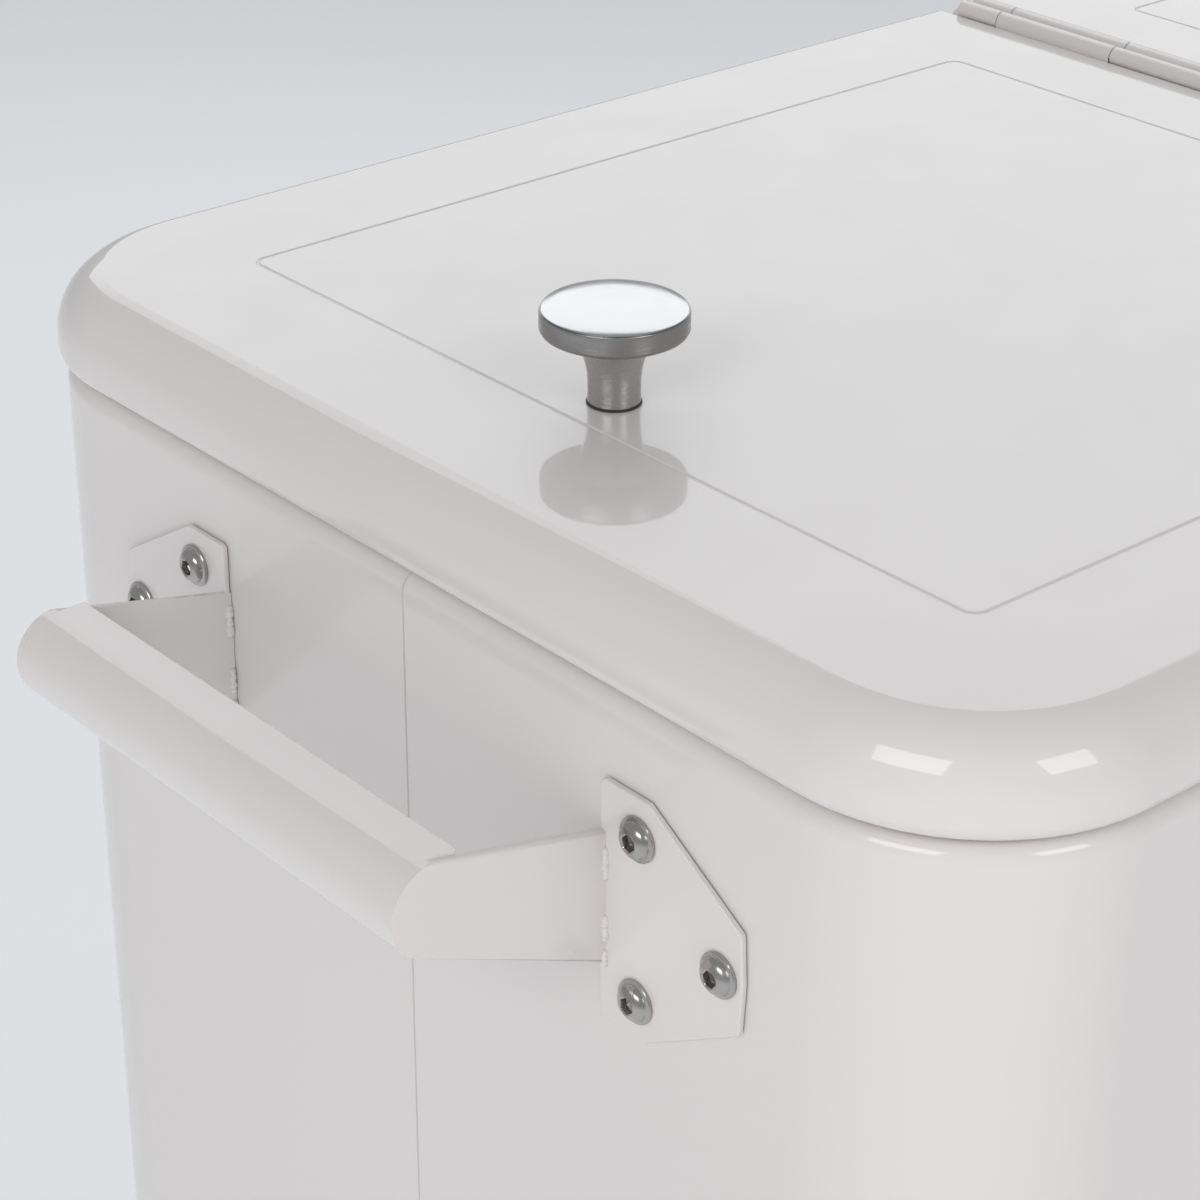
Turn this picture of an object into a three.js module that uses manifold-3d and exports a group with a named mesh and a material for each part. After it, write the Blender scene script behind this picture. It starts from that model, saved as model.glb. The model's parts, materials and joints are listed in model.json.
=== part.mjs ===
// Rolling patio cooler: an insulated steel chest with two centre-hinged half lids, push handles at both
// ends, corner legs with a bottom shelf, and four swivel casters.
// Units are millimetres. The floor is Z = 0 and +Z is up. The length runs along X and the front faces -Y.
// Left is the -X end. The origin is on the floor under the middle of the chest.
import * as THREE from "three";
import { mergeVertices } from "three/addons/utils/BufferGeometryUtils.js";
import Module from "manifold-3d";

const wasm = await Module();
wasm.setup();

const FAR = 1000; // beyond every part

// ---------------------------------------------------------------- driving dimensions
const GAP = 0.3; // clearance between touching pieces
const CORNER_STEPS = 6; // straight steps in each rounded corner of the chest and lids

const LID_TOP = 840;
const LID = { halfX: 389.6, halfY: 195.2, radius: 55 };
const LID_HEIGHT = 26;
const LID_SHEET = 1.2;
const LID_BULLNOSE = { radius: 18.2, sweep: 74 }; // the rounded edge meets the flat top at a crease
const LID_CURL = 5.5;
const LID_INNER_EDGE = 7.2; // distance of each half lid's inner edge from the middle
const EMBOSS = { outerX: 333.7, innerX: 45.6, halfY: 139.7, radius: 4, width: 1.8, depth: 0.7 };

const CHEST = { halfX: 387.6, halfY: 193.2, radius: 53 };
const CHEST_BOTTOM = 428;
const CHEST_TOP = 813;
const CHEST_SHEET = 1.2;
const SHOULDER = 5; // roll radius at the top of the shell
const SHOULDER_FLANGE = 16; // how far the shell's top flange reaches inwards

const PAN_TOP = 447.2;
const PAN_FLANGE = 15;
const BIN_INSET = 32; // from the chest's outside to the bin's inside
const BIN_FLOOR = 480;
const BIN_WALL = 2.5;
const RIM_TOP = 815; // top of the bin's flange, which the lid gaskets close on
const RIM_INSET = 10;

const BAR = { beamHalf: 20, beamBottom: 795, webHalf: 5, webTop: 832, webEnd: 188 }; // divider across the bin

const HINGE_Z = LID_TOP + 1.2;
const HINGE_X = 3.6;
const BARREL_RADIUS = 3.3;
const PIN_RADIUS = 1.5;
const PIN_BORE = 1.75;
const KNUCKLE_ENDS = [25.9, 105.3, 157.1, 175.6]; // knuckle joints either side of the middle
const KNUCKLE_GAP = 0.4;
const LEAF = { baseHalf: 4.7, baseTop: 833.8, sheet: 1.2, bottom: 822 };

const PANEL = { bottom: LID_TOP - 21.7, sheet: 2 }; // white underside of each lid
const PLUG = { bottom: 800, inset: BIN_INSET + 6, innerEdge: 28 };
const GASKET = { outerInset: 13.6, innerEdge: 10.5, width: 7 };

const KNOB = { x: 318.9, radius: 19.3, neck: 6.8, height: 27.2 };

const HANDLE_Z = LID_TOP - 82;
const HANDLE_HALF = 79.5; // outside of each handle arm from the handle's middle
const ARM_SHEET = 2;
const ARM_WALL_HEIGHT = 38;
const GRIP_RADIUS = 12.3;
const GRIP_REACH = 52.9; // from the chest's end wall to the centre of the grip's round front
const GRIP_RISE = 19.3;
const GRIP_FLANGE = 7.8;
const GRIP_SHEET = 1.6;
const BRACKET = { sheet: 1.7, halfHeight: 33.5, shoulder: 94, nose: 127, noseHalf: 13.5 };
const SCREW = { radius: 5.9, proud: 4, shank: 2.5 };
const SCREW_SPOTS = [[91, 22.8], [91, -22.8], [119.5, 0]]; // Y and height from the bracket's middle
const NUT_PLATE = { near: 84, far: 126, halfHeight: 30, sheet: 2 };

const LEG_INSET = 3;
const LEG_SHEET = 2.2;
const LEG_BOTTOM = 84;
const LEG_SPAN_X = 92;
const LEG_SPAN_Y = 76;
const SHELF_TOP = 170;
const SHELF_SKIRT = 22;

const CASTER = { x: 339.6, y: 151.2, top: 83.7, wheelRadius: 32, wheelHalf: 10, trail: 20 };
const AXLE_Z = CASTER.wheelRadius;
const AXLE_RADIUS = 3;
const CHEEK_INNER = CASTER.wheelHalf + 1.3;
const CHEEK_SHEET = 2.2;
const RACE_RADIUS = 15;
const CROWN = { bottom: 68.5, top: 71, rear: -16, front: 38 };
const BRAKE = { x: 32.5, z: 64.5, pin: 1.6 };

const FRONT_REACH = 232; // how far the cap catcher and the drain cap stand out from the middle
const DRAIN = { x: 300, z: 492, radius: 10, bore: 8 };
const OPENER = { z: 700, halfX: 23, halfZ: 34, sheet: 2.5 };
const CATCHER = { halfX: 55, bottom: 500, top: 596, wall: 1.3 };
const HOOK_Z = CATCHER.top - 12;
const HANGER_SHEET = 1.4;

// ---------------------------------------------------------------- materials
function finish(color, roughness, metalness) {
  return new THREE.MeshStandardMaterial({ color, roughness, metalness });
}

const paint = finish(0xe0dcda, 0.18, 0.0);
const chrome = finish(0xd8d8da, 0.06, 1.0);
const stainless = finish(0xb4b2b0, 0.25, 1.0);
const liner = finish(0xe9e9e6, 0.4, 0.0);
const foam = finish(0xe8d9a8, 0.9, 0.0);
const rubber = finish(0xb9b9b8, 0.7, 0.0);
const zinc = finish(0xc3c5c8, 0.35, 1.0);
const wheelPlastic = finish(0x2d2e30, 0.6, 0.0);
const whitePlastic = finish(0xe4e4e2, 0.35, 0.0);

// ---------------------------------------------------------------- solids
function solidFrom(geometry) {
  const bare = geometry.index ? geometry.toNonIndexed() : geometry;
  bare.deleteAttribute("normal");
  bare.deleteAttribute("uv");
  const merged = mergeVertices(bare, 1e-3);
  const vertProperties = merged.attributes.position.array;
  const triVerts = new Uint32Array(merged.index.array);
  return new wasm.Manifold(new wasm.Mesh({ numProp: 3, vertProperties, triVerts }));
}

function geometryFrom(solid) {
  const mesh = solid.getMesh();
  const geometry = new THREE.BufferGeometry();
  geometry.setAttribute("position", new THREE.BufferAttribute(mesh.vertProperties, 3));
  geometry.setIndex(new THREE.BufferAttribute(mesh.triVerts, 1));
  geometry.computeVertexNormals();
  return geometry;
}

function join(...solids) {
  return solids.reduce((whole, piece) => whole.add(piece));
}

function cut(solid, ...tools) {
  return tools.reduce((rest, tool) => rest.subtract(tool), solid);
}

function box([x0, x1], [y0, y1], [z0, z1]) {
  const geometry = new THREE.BoxGeometry(x1 - x0, y1 - y0, z1 - z0);
  geometry.translate((x0 + x1) / 2, (y0 + y1) / 2, (z0 + z1) / 2);
  return solidFrom(geometry);
}

const sorted = (a, b) => (a < b ? [a, b] : [b, a]);

// The outline of a rounded rectangle, anticlockwise from above, pulled in by the inset.
function roundedOutline(base, inset, steps = CORNER_STEPS) {
  const radius = base.radius - inset;
  const centreX = base.halfX - base.radius;
  const centreY = base.halfY - base.radius;
  const points = [];
  for (let corner = 0; corner < 4; corner += 1) {
    const signX = corner === 0 || corner === 3 ? 1 : -1;
    const signY = corner < 2 ? 1 : -1;
    for (let step = 0; step <= steps; step += 1) {
      const angle = (corner + step / steps) * (Math.PI / 2);
      points.push([signX * centreX + radius * Math.cos(angle), signY * centreY + radius * Math.sin(angle)]);
    }
  }
  return points;
}

// A solid through rounded rectangles given as [inset, z] rows, from the bottom up. A ring is closed from
// its last row back to its first; otherwise the first and last rows are capped.
function loft(base, rows, ring = false) {
  const outlines = rows.map(([inset, z]) => roundedOutline(base, inset).map(([x, y]) => [x, y, z]));
  const count = outlines[0].length;
  const positions = outlines.flat(2);
  const index = [];
  const bands = ring ? rows.length : rows.length - 1;
  for (let row = 0; row < bands; row += 1) {
    const below = row * count;
    const above = ((row + 1) % rows.length) * count;
    for (let i = 0; i < count; i += 1) {
      const next = (i + 1) % count;
      index.push(below + i, below + next, above + next, below + i, above + next, above + i);
    }
  }
  if (!ring) {
    const last = (rows.length - 1) * count;
    for (let i = 1; i < count - 1; i += 1) {
      index.push(0, i + 1, i, last, last + i, last + i + 1);
    }
  }
  const geometry = new THREE.BufferGeometry();
  geometry.setAttribute("position", new THREE.Float32BufferAttribute(positions, 3));
  geometry.setIndex(index);
  return solidFrom(geometry);
}

// A rounded block between two heights, its outline the base's pulled in by the inset.
function block(base, inset, z0, z1) {
  return loft(base, [[inset, z0], [inset, z1]]);
}

// [inset, z] points on a quarter circle about a centre, between two angles in quarter turns.
function quarter(centreInset, centreZ, radius, from, to, steps) {
  return Array.from({ length: steps + 1 }, (_, i) => {
    const angle = (from + ((to - from) * i) / steps) * (Math.PI / 2);
    return [centreInset - radius * Math.cos(angle), centreZ + radius * Math.sin(angle)];
  });
}

function shapeOf(points) {
  return new THREE.Shape(points.map(([u, v]) => new THREE.Vector2(u, v)));
}

function roundedRectShape(halfU, halfV, radius, centreU = 0, centreV = 0) {
  const shape = new THREE.Shape();
  shape.absarc(centreU + halfU - radius, centreV + halfV - radius, radius, 0, Math.PI / 2);
  shape.absarc(centreU - halfU + radius, centreV + halfV - radius, radius, Math.PI / 2, Math.PI);
  shape.absarc(centreU - halfU + radius, centreV - halfV + radius, radius, Math.PI, Math.PI * 1.5);
  shape.absarc(centreU + halfU - radius, centreV - halfV + radius, radius, Math.PI * 1.5, Math.PI * 2);
  return shape;
}

// Extrusions of a shape drawn in two of the axes, along the third.
function extrude(shape, from, to, axes, curveSegments) {
  const geometry = new THREE.ExtrudeGeometry(shape, { depth: to - from, bevelEnabled: false, curveSegments });
  geometry.translate(0, 0, from);
  geometry.applyMatrix4(new THREE.Matrix4().makeBasis(...axes));
  return solidFrom(geometry);
}

const AXIS_X = new THREE.Vector3(1, 0, 0);
const AXIS_Y = new THREE.Vector3(0, 1, 0);
const AXIS_Z = new THREE.Vector3(0, 0, 1);

function extrudeUp(shape, z0, z1, segments = 5) {
  return extrude(shape, z0, z1, [AXIS_X, AXIS_Y, AXIS_Z], segments);
}

// The shape is drawn with Y to the right and Z up.
function extrudeAlongX(shape, x0, x1, segments = 5) {
  return extrude(shape, x0, x1, [AXIS_Y, AXIS_Z, AXIS_X], segments);
}

// The shape is drawn with X to the right and Z up, and runs between two values of Y.
function extrudeAlongY(shape, y0, y1, segments = 5) {
  return extrude(shape, -y1, -y0, [AXIS_X, AXIS_Z, AXIS_Y.clone().negate()], segments);
}

// A turned solid from [radius, height] points that start and end on the axis, or close on themselves.
function turned(profile, segments, closed = false) {
  const points = profile.map(([radius, height]) => new THREE.Vector2(radius, height));
  if (closed) points.push(points[0].clone());
  const geometry = new THREE.LatheGeometry(points, segments);
  geometry.rotateX(Math.PI / 2);
  return solidFrom(geometry);
}

// A turned solid moved so that its axis lies along X, Y or Z, through the given point.
function turnedAt(profile, segments, axis, [x, y, z], closed = false) {
  const geometry = geometryFrom(turned(profile, segments, closed));
  if (axis === "x") geometry.rotateY(Math.PI / 2);
  if (axis === "-x") geometry.rotateY(-Math.PI / 2);
  if (axis === "y") geometry.rotateX(-Math.PI / 2);
  if (axis === "-y") geometry.rotateX(Math.PI / 2);
  geometry.translate(x, y, z);
  return solidFrom(geometry);
}

const rod = (radius, length) => [[0, 0], [radius, 0], [radius, length], [0, length]];

const cooler = new THREE.Group();

function add(name, solid, material, group = cooler) {
  const mesh = new THREE.Mesh(geometryFrom(solid), material);
  mesh.name = name;
  group.add(mesh);
}

// ---------------------------------------------------------------- chest
function outerShell() {
  const flangeBottom = CHEST_TOP - CHEST_SHEET;
  const shoulderZ = CHEST_TOP - SHOULDER;
  const wall = loft(CHEST, [
    [CHEST_SHEET, CHEST_BOTTOM],
    [0, CHEST_BOTTOM],
    ...quarter(SHOULDER, shoulderZ, SHOULDER, 0, 1, 3),
    [SHOULDER_FLANGE, CHEST_TOP],
    [SHOULDER_FLANGE, flangeBottom],
    ...quarter(SHOULDER, shoulderZ, SHOULDER - CHEST_SHEET, 1, 0, 2),
  ], true);
  const seamHalf = 0.4;
  const seamDepth = 0.5;
  const seams = [-1, 1].map((side) => {
    const face = side * CHEST.halfX;
    const reach = [face - seamDepth, face + seamDepth];
    return box(reach, [-seamHalf, seamHalf], [CHEST_BOTTOM - 1, shoulderZ]);
  });
  return cut(wall, ...seams, spoutHole(), ...atBothEnds([-1, 1].flatMap(screwHoles)));
}

// Left-end tools together with their copies turned round to the right end.
function atBothEnds(tools) {
  const turnedTools = tools.map((tool) => solidFrom(geometryFrom(tool).rotateZ(Math.PI)));
  return [...tools, ...turnedTools];
}

// A hole through the rear walls, on the drain's axis.
function drainHole(radius) {
  const start = CHEST.halfY - BIN_INSET - 10;
  return turnedAt(rod(radius, BIN_INSET + 20), 16, "y", [DRAIN.x, start, DRAIN.z]);
}

const spoutHole = () => drainHole(DRAIN.radius + GAP);

function bottomPan() {
  const outer = block(CHEST, CHEST_SHEET + GAP, PAN_TOP - PAN_FLANGE, PAN_TOP);
  const inner = block(CHEST, CHEST_SHEET * 2 + GAP, PAN_TOP - PAN_FLANGE - 1, PAN_TOP - CHEST_SHEET);
  return cut(outer, inner);
}

function insulation() {
  const outer = block(CHEST, CHEST_SHEET + GAP, PAN_TOP + GAP, CHEST_TOP - 7);
  const inner = block(CHEST, BIN_INSET - BIN_WALL - GAP, BIN_FLOOR - BIN_WALL - GAP, CHEST_TOP);
  const pockets = atBothEnds([-1, 1].map((side) => nutPlate(side, GAP)));
  return cut(outer, inner, spoutHole(), ...pockets);
}

function innerLiner() {
  const tub = block(CHEST, BIN_INSET - BIN_WALL, BIN_FLOOR - BIN_WALL, RIM_TOP - 1);
  const flange = block(CHEST, RIM_INSET, CHEST_TOP + GAP, RIM_TOP);
  const bin = block(CHEST, BIN_INSET, BIN_FLOOR, RIM_TOP + 1);
  return cut(join(tub, flange), bin, drainHole(DRAIN.bore));
}

function drainSpout() {
  const { radius, bore } = DRAIN;
  const start = BIN_WALL + GAP - BIN_INSET;
  const end = 30;
  const profile = [
    [bore, start],
    [radius, start],
    [radius, GAP],
    [radius + 5, GAP],
    [radius + 5, 3],
    [radius, 3],
    [radius, end],
    [bore, end],
  ];
  return turnedAt(profile, 16, "y", [DRAIN.x, CHEST.halfY, DRAIN.z], true);
}

function drainCap() {
  const reach = FRONT_REACH - CHEST.halfY;
  const cupInside = DRAIN.radius + GAP;
  const cupOutside = DRAIN.radius + 4;
  const mouth = 10;
  const crown = 3;
  const profile = [
    [0, reach - crown],
    [cupInside, reach - crown],
    [cupInside, mouth],
    [cupOutside, mouth],
    [cupOutside, reach - 1],
    [cupOutside - 1, reach],
    [0, reach],
  ];
  return turnedAt(profile, 16, "y", [DRAIN.x, CHEST.halfY, DRAIN.z]);
}

function centreBar() {
  const { beamHalf, beamBottom, webHalf, webTop, webEnd } = BAR;
  const span = CHEST.halfY - BIN_INSET - GAP;
  const beam = box([-beamHalf, beamHalf], [-span, span], [beamBottom, RIM_TOP]);
  const root = box([-webHalf, webHalf], [-span, span], [beamBottom, webTop]);
  const web = box([-webHalf, webHalf], [-webEnd, webEnd], [RIM_TOP + GAP, webTop]);
  return join(beam, root, web);
}

// ---------------------------------------------------------------- hinge
function barrelProfile(length) {
  return [[PIN_BORE, 0], [BARREL_RADIUS, 0], [BARREL_RADIUS, length], [PIN_BORE, length]];
}

// The [start, end] stretches of a hinge's knuckles; every other stretch belongs to the moving leaf.
function knuckles(moving) {
  const ends = [...KNUCKLE_ENDS.map((y) => -y).reverse(), ...KNUCKLE_ENDS];
  const stretches = ends.slice(1).map((end, i) => [ends[i] + KNUCKLE_GAP / 2, end - KNUCKLE_GAP / 2]);
  return stretches.filter((_, i) => (i % 2 === 1) === moving);
}

function barrel(x, [y0, y1]) {
  return turnedAt(barrelProfile(y1 - y0), 10, "y", [x, y0, HINGE_Z], true);
}

function fixedLeaf() {
  const { baseHalf, baseTop } = LEAF;
  const end = KNUCKLE_ENDS.at(-1);
  let leaf = box([-baseHalf, baseHalf], [-end, end], [BAR.webTop + GAP, baseTop]);
  const bores = [-1, 1].map((side) => {
    return turnedAt(rod(PIN_BORE, 2 * end), 10, "y", [side * HINGE_X, -end, HINGE_Z]);
  });
  for (const stretch of knuckles(false)) {
    const post = box([-baseHalf, baseHalf], stretch, [baseTop - 0.5, HINGE_Z + 1]);
    leaf = join(leaf, post, barrel(-HINGE_X, stretch), barrel(HINGE_X, stretch));
  }
  return cut(leaf, ...bores);
}

// The left lid's leaf hangs down the lid's inner wall and carries the moving knuckles.
function movingLeaf() {
  const plateX = [-LID_INNER_EDGE + GAP, -LID_INNER_EDGE + GAP + LEAF.sheet];
  const end = KNUCKLE_ENDS.at(-1);
  const bore = turnedAt(rod(PIN_BORE, 2 * end), 10, "y", [-HINGE_X, -end, HINGE_Z]);
  const plateTop = HINGE_Z - BARREL_RADIUS - 1.2;
  let leaf = box(plateX, [-end, end], [LEAF.bottom, plateTop]);
  for (const stretch of knuckles(true)) {
    const neck = box(plateX, stretch, [plateTop - 5, HINGE_Z]);
    leaf = join(leaf, neck, barrel(-HINGE_X, stretch));
  }
  return cut(leaf, bore);
}

function hingePin(side) {
  const half = KNUCKLE_ENDS.at(-1) - 0.2;
  return turnedAt(rod(PIN_RADIUS, 2 * half), 10, "y", [side * HINGE_X, -half, HINGE_Z]);
}

// ---------------------------------------------------------------- lids
const leftOf = (x) => box([-FAR, x], [-FAR, FAR], [0, FAR]);

// Rows of the lid's outside, or of its inside when a sheet thickness is given, from the bottom up.
function lidRows(sheet) {
  const { radius, sweep } = LID_BULLNOSE;
  const curlZ = LID_TOP - LID_HEIGHT + LID_CURL;
  const bullnoseZ = LID_TOP - radius * Math.sin((sweep * Math.PI) / 180);
  return [
    ...quarter(LID_CURL, curlZ, LID_CURL - sheet, -1, 0, 3),
    ...quarter(radius, bullnoseZ, radius - sheet, 0, sweep / 90, 4),
  ];
}

function embossTool() {
  const { outerX, innerX, halfY, radius, width, depth } = EMBOSS;
  const centre = -(outerX + innerX) / 2;
  const half = (outerX - innerX) / 2;
  const edge = width / 2;
  const outer = roundedRectShape(half + edge, halfY + edge, radius + edge, centre);
  const inner = roundedRectShape(half - edge, halfY - edge, radius - edge, centre);
  const z = [LID_TOP - depth, LID_TOP + 1];
  return cut(extrudeUp(outer, ...z, 3), extrudeUp(inner, z[0] - 1, z[1] + 1, 3));
}

function lidShell() {
  const bottom = LID_TOP - LID_HEIGHT;
  const innerWall = -LID_INNER_EDGE - LID_SHEET;
  const outside = loft(LID, lidRows(0)).intersect(leftOf(-LID_INNER_EDGE));
  const inside = loft(LID, lidRows(LID_SHEET)).intersect(leftOf(innerWall));
  const mouth = block(LID, LID_CURL + 3, bottom - 1, bottom + LID_SHEET + 1).intersect(leftOf(innerWall));
  const rimHalf = CHEST.halfY - RIM_INSET + 3;
  const overRim = box([innerWall, 0], [-rimHalf, rimHalf], [0, RIM_TOP + GAP]);
  return cut(outside, inside, mouth, overRim, embossTool());
}

const PANEL_TOP = PANEL.bottom + PANEL.sheet;
const PANEL_INSET = 2;

// The part of the lid's inside, from its rounded edge inwards, that clears the inner wall by the gap.
const insideWall = () => leftOf(-LID_INNER_EDGE - LID_SHEET - GAP);

function lidLiner() {
  const { bottom, inset, innerEdge } = PLUG;
  const panel = block(LID, PANEL_INSET, PANEL.bottom, PANEL_TOP).intersect(insideWall());
  const plug = block(CHEST, inset, bottom, PANEL_TOP - 0.5).intersect(leftOf(-innerEdge));
  const hollow = block(CHEST, inset + PANEL.sheet, bottom + PANEL.sheet, LID_TOP);
  return cut(join(panel, plug), hollow.intersect(leftOf(-innerEdge - PANEL.sheet)));
}

function lidFoam() {
  const bottom = PANEL_TOP + GAP;
  const stepZ = LID_TOP - 12.6;
  const lower = block(LID, PANEL_INSET + 0.6, bottom, stepZ).intersect(insideWall());
  const upper = block(LID, 13.6, bottom, LID_TOP - LID_SHEET - GAP).intersect(insideWall());
  const margin = PANEL.sheet + GAP;
  const plug = block(CHEST, PLUG.inset + margin, PLUG.bottom + margin, bottom + 1);
  return join(lower, upper, plug.intersect(leftOf(-PLUG.innerEdge - margin)));
}

function lidGasket() {
  const { outerInset, innerEdge, width } = GASKET;
  const z = [RIM_TOP + GAP, PANEL.bottom - GAP];
  const outer = block(CHEST, outerInset, ...z).intersect(leftOf(-innerEdge));
  const inner = block(CHEST, outerInset + width, z[0] - 1, z[1] + 1).intersect(leftOf(-innerEdge - width));
  return cut(outer, inner);
}

function knob() {
  const { radius, neck, height } = KNOB;
  const profile = [
    [0, GAP],
    [neck, GAP],
    [neck, 8],
    [neck + 0.5, 12],
    [neck + 1.4, 15.5],
    [neck + 3, 18.6],
    [radius - 2, 19.2],
    [radius - 0.4, 19.9],
    [radius, 21],
    [radius, 25.4],
    [radius - 0.7, 26.3],
    [radius * 0.5, height - 0.2],
    [0, height],
  ];
  return turnedAt(profile, 20, "z", [-KNOB.x, 0, LID_TOP]);
}

// ---------------------------------------------------------------- handles
const GRIP_X = -CHEST.halfX - GRIP_REACH;
const GRIP_Z = HANDLE_Z + GRIP_RISE;

// One handle plate with its arm, on the left end; side is the sign of its Y.
function handleBracket(side) {
  const { sheet, halfHeight, shoulder, nose, noseHalf } = BRACKET;
  const wall = -CHEST.halfX - GAP;
  const inner = HANDLE_HALF - ARM_SHEET;
  const plate = shapeOf([
    [side * inner, HANDLE_Z - halfHeight],
    [side * shoulder, HANDLE_Z - halfHeight],
    [side * nose, HANDLE_Z - noseHalf],
    [side * nose, HANDLE_Z + noseHalf],
    [side * shoulder, HANDLE_Z + halfHeight],
    [side * inner, HANDLE_Z + halfHeight],
  ]);
  const arm = new THREE.Shape();
  arm.moveTo(wall, HANDLE_Z - ARM_WALL_HEIGHT / 2);
  arm.lineTo(wall, HANDLE_Z + ARM_WALL_HEIGHT / 2);
  arm.lineTo(GRIP_X, GRIP_Z + GRIP_RADIUS);
  arm.absarc(GRIP_X, GRIP_Z, GRIP_RADIUS, Math.PI / 2, Math.PI * 1.5);
  const armY = sorted(side * inner, side * HANDLE_HALF);
  const sheets = join(extrudeAlongX(plate, wall - sheet, wall), extrudeAlongY(arm, ...armY, 8));
  return cut(sheets, ...screwHoles(side));
}

// The channel between the arms: a half-round front with flat flanges, open towards the chest.
function handleGrip() {
  const inner = GRIP_RADIUS - GRIP_SHEET;
  const flangeEnd = GRIP_X + GRIP_FLANGE;
  const section = new THREE.Shape();
  section.moveTo(flangeEnd, GRIP_Z + GRIP_RADIUS);
  section.absarc(GRIP_X, GRIP_Z, GRIP_RADIUS, Math.PI / 2, Math.PI * 1.5);
  section.lineTo(flangeEnd, GRIP_Z - GRIP_RADIUS);
  section.lineTo(flangeEnd, GRIP_Z - inner);
  section.absarc(GRIP_X, GRIP_Z, inner, Math.PI * 1.5, Math.PI / 2, true);
  section.lineTo(flangeEnd, GRIP_Z + inner);
  const half = HANDLE_HALF - ARM_SHEET - GAP;
  return extrudeAlongY(section, -half, half, 10);
}

// The plate behind the end wall that a bracket's screws are threaded into, grown by a margin.
function nutPlate(side, margin) {
  const front = -CHEST.halfX + CHEST_SHEET + GAP;
  const x = [front - margin, front + NUT_PLATE.sheet + margin];
  const y = sorted(side * (NUT_PLATE.near - margin), side * (NUT_PLATE.far + margin));
  const reach = NUT_PLATE.halfHeight + margin;
  return box(x, y, [HANDLE_Z - reach, HANDLE_Z + reach]);
}

// The holes that a bracket's screws pass through in the bracket and the end wall.
function screwHoles(side) {
  const start = -CHEST.halfX - 6;
  return SCREW_SPOTS.map(([y, z]) => {
    return turnedAt(rod(SCREW.shank + GAP, 12), 8, "x", [start, side * y, HANDLE_Z + z]);
  });
}

// Three flanged button-head screws in one nut plate.
function screwSet(side) {
  const face = -CHEST.halfX - GAP - BRACKET.sheet - GAP;
  const head = [
    [0, 0],
    [SCREW.radius, 0],
    [SCREW.radius, 1],
    [SCREW.radius - 1.6, 2.2],
    [2.4, SCREW.proud],
    [2.2, 1.4],
    [0, 1.4],
  ];
  const shank = rod(SCREW.shank, CHEST_SHEET + BRACKET.sheet + GAP * 4);
  return SCREW_SPOTS.reduce((whole, [y, z]) => {
    const place = [face, side * y, HANDLE_Z + z];
    return join(whole, turnedAt(head, 12, "-x", place), turnedAt(shank, 8, "x", place));
  }, nutPlate(side, 0));
}

// ---------------------------------------------------------------- legs and shelf
// A corner region reaching in from the chest's sides, given by the signs of its X and Y.
function cornerRegion(sideX, sideY, z) {
  const x = sorted(sideX * (CHEST.halfX - LEG_SPAN_X), sideX * FAR);
  const y = sorted(sideY * (CHEST.halfY - LEG_SPAN_Y), sideY * FAR);
  return box(x, y, z);
}

function leg(sideX, sideY) {
  const top = PAN_TOP - CHEST_SHEET - GAP;
  const foot = block(CHEST, LEG_INSET, LEG_BOTTOM, LEG_BOTTOM + 3);
  const outer = block(CHEST, LEG_INSET, LEG_BOTTOM, top);
  const inner = block(CHEST, LEG_INSET + LEG_SHEET, LEG_BOTTOM - 1, top + 1);
  const whole = join(cut(outer, inner), foot);
  return whole.intersect(cornerRegion(sideX, sideY, [0, FAR]));
}

function shelf() {
  const inset = LEG_INSET + LEG_SHEET + GAP;
  const sheet = 1.5;
  const outer = block(CHEST, inset, SHELF_TOP - SHELF_SKIRT, SHELF_TOP);
  const inner = block(CHEST, inset + sheet, SHELF_TOP - SHELF_SKIRT - 1, SHELF_TOP - sheet);
  return cut(outer, inner);
}

// ---------------------------------------------------------------- casters
// Each is drawn about its swivel axis at X = Y = 0.
function casterPlate() {
  const thickness = 2.5;
  const plate = extrudeUp(roundedRectShape(30, 27, 5), CASTER.top - thickness, CASTER.top, 3);
  const race = turnedAt(rod(RACE_RADIUS, 3.4), 12, "z", [0, 0, CASTER.top - 5.4]);
  return join(plate, race);
}

function casterFork() {
  const { bottom, top, rear, front } = CROWN;
  const outside = CHEEK_INNER + CHEEK_SHEET;
  const crown = box([rear, front], [-outside, outside], [bottom, top]);
  const cup = [[0, 0], [RACE_RADIUS, 0], [RACE_RADIUS, 5], [RACE_RADIUS - 2, 7], [0, 7]];
  const bearing = turnedAt(cup, 12, "z", [0, 0, top]);
  const cheek = new THREE.Shape();
  cheek.moveTo(rear, top);
  cheek.lineTo(rear, top - 9);
  cheek.lineTo(CASTER.trail - 8, AXLE_Z - 3);
  cheek.absarc(CASTER.trail, AXLE_Z, 8.5, Math.PI * 1.12, Math.PI * 1.94);
  cheek.lineTo(front, top - 11);
  cheek.lineTo(front, top);
  const bore = turnedAt(rod(AXLE_RADIUS + GAP, 40), 12, "y", [CASTER.trail, -20, AXLE_Z]);
  const leverBore = turnedAt(rod(BRAKE.pin + GAP, 40), 12, "y", [BRAKE.x, -20, BRAKE.z]);
  const cheeks = [-1, 1].map((side) => {
    const y = sorted(side * CHEEK_INNER, side * outside);
    return extrudeAlongY(cheek, ...y, 4);
  });
  return cut(join(crown, bearing, ...cheeks), bore, leverBore);
}

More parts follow.
